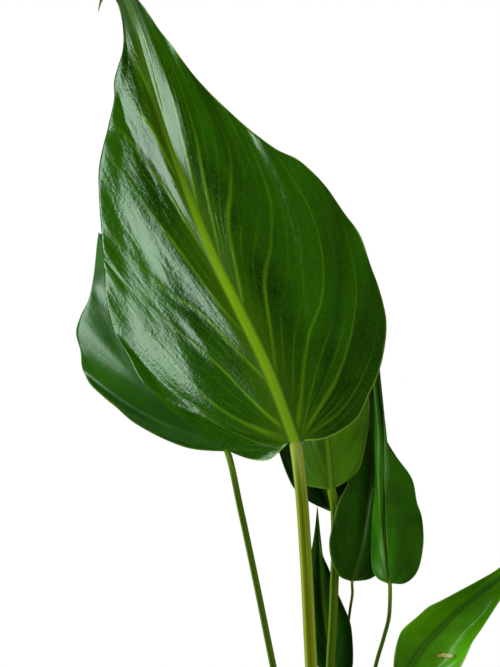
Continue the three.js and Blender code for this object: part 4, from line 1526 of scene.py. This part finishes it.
# %% Stem
STEM_TOP = 125
STEM_FOOT = 84
STEM_RINGS = 90
STEM_SIDES = 96
DOME_RISE = 4
DOME_RINGS = 12
SCAR_SPACING = 5
SCAR_WIDTH = 0.13  # as a share of that spacing
BARK_DEPTH = 0.45  # how far the bark lies inside the stem's radius
SCAR_HEIGHT = 0.35


def stem_finish():
    finish = Finish("green_bark")
    streaks = finish.noise(finish.place((500, 500, 60)), 1, 4)
    colour = finish.mix(finish.fade(streaks, 0.3, 0.7), linear(78, 92, 36), linear(124, 134, 62))
    scars = finish.times(finish.attribute("scar"), 0.8)
    colour = finish.mix(scars, colour, linear(150, 132, 92))
    return finish.done(colour, 0.6, finish.bump(streaks, 0.0006))


def uneven_stem(radius, height, angle):
    wave = 0.25 * np.sin(3 * angle + height / 4) + 0.15 * np.sin(7 * angle - height / 3)
    return np.minimum(radius * (1 - 0.02 + 0.02 * wave), STEM_RADIUS), height


def stem_piece():
    height = np.linspace(STEM_FOOT, STEM_TOP - DOME_RISE, STEM_RINGS)
    from_scar = (height - STEM_FOOT) / SCAR_SPACING % 1 - 0.5
    scar = np.exp(-((from_scar / SCAR_WIDTH) ** 2))
    dome = np.linspace(0, math.pi / 2, DOME_RINGS + 1)[1:]
    dome_radius = np.maximum((STEM_RADIUS - BARK_DEPTH) * np.cos(dome), AXIS_RADIUS)
    radii = [AXIS_RADIUS, *(STEM_RADIUS - BARK_DEPTH + SCAR_HEIGHT * scar), *dome_radius]
    heights = [STEM_FOOT, *height, *(STEM_TOP - DOME_RISE + DOME_RISE * np.sin(dome))]
    points, faces = turned(np.stack([radii, heights], 1), STEM_SIDES, uneven_stem)
    values = {"scar": np.repeat([0, *scar, *np.zeros(DOME_RINGS)], STEM_SIDES)}
    make_piece("stem_stock", points, faces, stem_finish(), "stem", "stem", values)


stem_piece()

# %% [markdown]
# Soil
#
# Potting mix is a bed of dark crumbs with white perlite and chips of bark. The bed could be built
# of thousands of crumbs, but most of them would never be seen. So it is one lumpy surface that
# fills the pot, with the same swells as the packed soil, and its finish adds crumbs and clods.

# %% Soil
SOIL_LEVEL = 108
SOIL_GAP = 0.3  # all round, so that it touches neither pot nor stem
SOIL_RINGS = 60
SOIL_SIDES = 150


def lumps(x, y):
    """The packed soil's low swells, with crumbs on top."""
    broad = (
        0.5 * np.sin(0.21 * x + 1.3) * np.cos(0.17 * y)
        + 0.5 * np.sin(0.43 * y - 0.31 * x)
        + 0.4 * np.cos(0.57 * x + 0.39 * y)
    )
    crumbs = np.sin(1.9 * x + 0.7 * y) * np.sin(2.3 * y - 0.9 * x) + np.sin(3.1 * x - 2.7 * y)
    return 1.3 * broad + 0.35 * crumbs


def crumbly(radius, height, angle):
    lifted = lumps(radius * np.cos(angle), radius * np.sin(angle))
    on_top = np.abs(height - SOIL_LEVEL) < 0.01
    return radius, height + np.where(on_top, lifted, 0)


def soil_piece(material):
    outer = wall_radius(SOIL_LEVEL) - WALL - SOIL_GAP
    inner = STEM_RADIUS + SOIL_GAP
    foot = FLOOR + SOIL_GAP
    low = STEM_FOOT - SOIL_GAP
    profile = [
        [AXIS_RADIUS, foot], [wall_radius(foot) - WALL - SOIL_GAP, foot],
        *[[radius, SOIL_LEVEL] for radius in np.linspace(outer, inner, SOIL_RINGS)],
        [inner, low], [AXIS_RADIUS, low],
    ]
    points, faces = turned(profile, SOIL_SIDES, crumbly)
    make_piece("soil_bed", points, faces, material, "soil", "soil")


def soil_finish():
    finish = Finish("potting_mix")
    crumbs = finish.cells(finish.place(), 420)
    clods = finish.noise(finish.place(), 160, 4)
    colour = finish.mix(finish.fade(clods, 0.35, 0.7), linear(30, 20, 13), linear(74, 54, 38))
    colour = finish.mix(finish.fade(crumbs, 0, 0.5, 0.4, 0), colour, linear(14, 9, 6))
    relief = finish.bump(crumbs, 0.0008, finish.bump(clods, 0.0016))
    return finish.done(colour, 0.93, relief, Specular_IOR_Level=0.3)


potting_mix = soil_finish()
soil_piece(potting_mix)

# %% [markdown]
# Loose bits
#
# Crumbs, white grains and flat chips of bark lie loose on the bed. Geometry nodes could scatter
# them, but an export drops scattered instances. So they are small uneven stones, drawn with one
# seeded generator and joined into one mesh for each kind. Each stone is a ball whose corners are
# pushed in and out a little, squashed, turned and partly sunk.

# %% Loose bits
RANDOM = np.random.default_rng(7)
STONE_DETAIL = 2
CLEAR_OF_POT = 4
CLEAR_OF_STEM = 4
UNEVEN = 0.16


def plain_stone():
    """The corners and faces of a small ball."""
    stone = bmesh.new()
    bmesh.ops.create_icosphere(stone, subdivisions=STONE_DETAIL, radius=1)
    corners = np.array([vertex.co for vertex in stone.verts])
    faces = np.array([[vertex.index for vertex in face.verts] for face in stone.faces])
    stone.free()
    return corners, faces


def scattered_stones(count, size, flatness):
    """Points and faces of many uneven stones on the soil."""
    shape, stone_faces = plain_stone()
    outer = wall_radius(SOIL_LEVEL) - WALL - CLEAR_OF_POT
    points, faces = [], []
    for k in range(count):
        distance = math.sqrt(RANDOM.uniform((STEM_RADIUS + CLEAR_OF_STEM) ** 2, outer**2))
        angle = RANDOM.uniform(0, 2 * math.pi)
        x, y = distance * math.cos(angle), distance * math.sin(angle)
        scale = RANDOM.uniform(*size) * np.array([1, RANDOM.uniform(0.6, 1), flatness])
        bumps = 1 + RANDOM.uniform(-UNEVEN, UNEVEN, len(shape))[:, None]
        turn = RANDOM.uniform(0, 2 * math.pi)
        spin = np.array([
            [math.cos(turn), -math.sin(turn), 0], [math.sin(turn), math.cos(turn), 0], [0, 0, 1],
        ])
        place = np.array([x, y, SOIL_LEVEL + lumps(x, y) + scale[2] * 0.35])
        points.append((shape * bumps * scale) @ spin.T + place)
        faces.append(stone_faces + k * len(shape))
    return np.concatenate(points), np.concatenate(faces)


def stone_finish(name, dark, light):
    finish = Finish(name)
    patches = finish.noise(finish.place(), 500, 3)
    colour = finish.mix(finish.fade(patches, 0.3, 0.7), dark, light)
    return finish.done(colour, 0.85, finish.bump(patches, 0.0005))


white_grain = stone_finish("white_perlite", linear(196, 192, 184), linear(236, 234, 228))
bark = stone_finish("bark", linear(58, 34, 20), linear(112, 72, 44))
for name, count, size, flatness, material in (
    ("soil_crumbs", 700, (0.8, 2.2), 0.8, potting_mix),
    ("perlite", 90, (0.7, 1.7), 0.85, white_grain),
    ("bark_chips", 60, (2.2, 5.0), 0.28, bark),
):
    make_piece(name, *scattered_stones(count, size, flatness), material, "soil")

# %% [markdown]
# Floor
#
# A plain pale floor catches the pot's shadow. A curved backdrop would show in the views from the
# sides, so it is only a wide disc, just under the pot. It isn't part of the object, so it rides on
# no body, and it is kept out of the leaves' mirror images.

# %% Floor
FLOOR_RADIUS = 1.4  # metres
FLOOR_DROP = 0.0005


def floor_finish():
    finish = Finish("pale_floor")
    fine = finish.noise(finish.place(), 300, 2)
    return finish.done(
        finish.mix(finish.fade(fine, 0, 1), linear(226, 226, 224), linear(234, 234, 232)), 0.75)


def make_floor():
    disc = bmesh.new()
    bmesh.ops.create_circle(disc, cap_ends=True, segments=96, radius=FLOOR_RADIUS)
    mesh = bpy.data.meshes.new("floor")
    disc.to_mesh(mesh)
    disc.free()
    mesh.materials.append(floor_finish())
    floor = bpy.data.objects.new("floor", mesh)
    floor.location.z = -FLOOR_DROP
    floor.visible_glossy = False
    bpy.context.scene.collection.objects.link(floor)
    print("floor's width, m:", 2 * FLOOR_RADIUS)


make_floor()
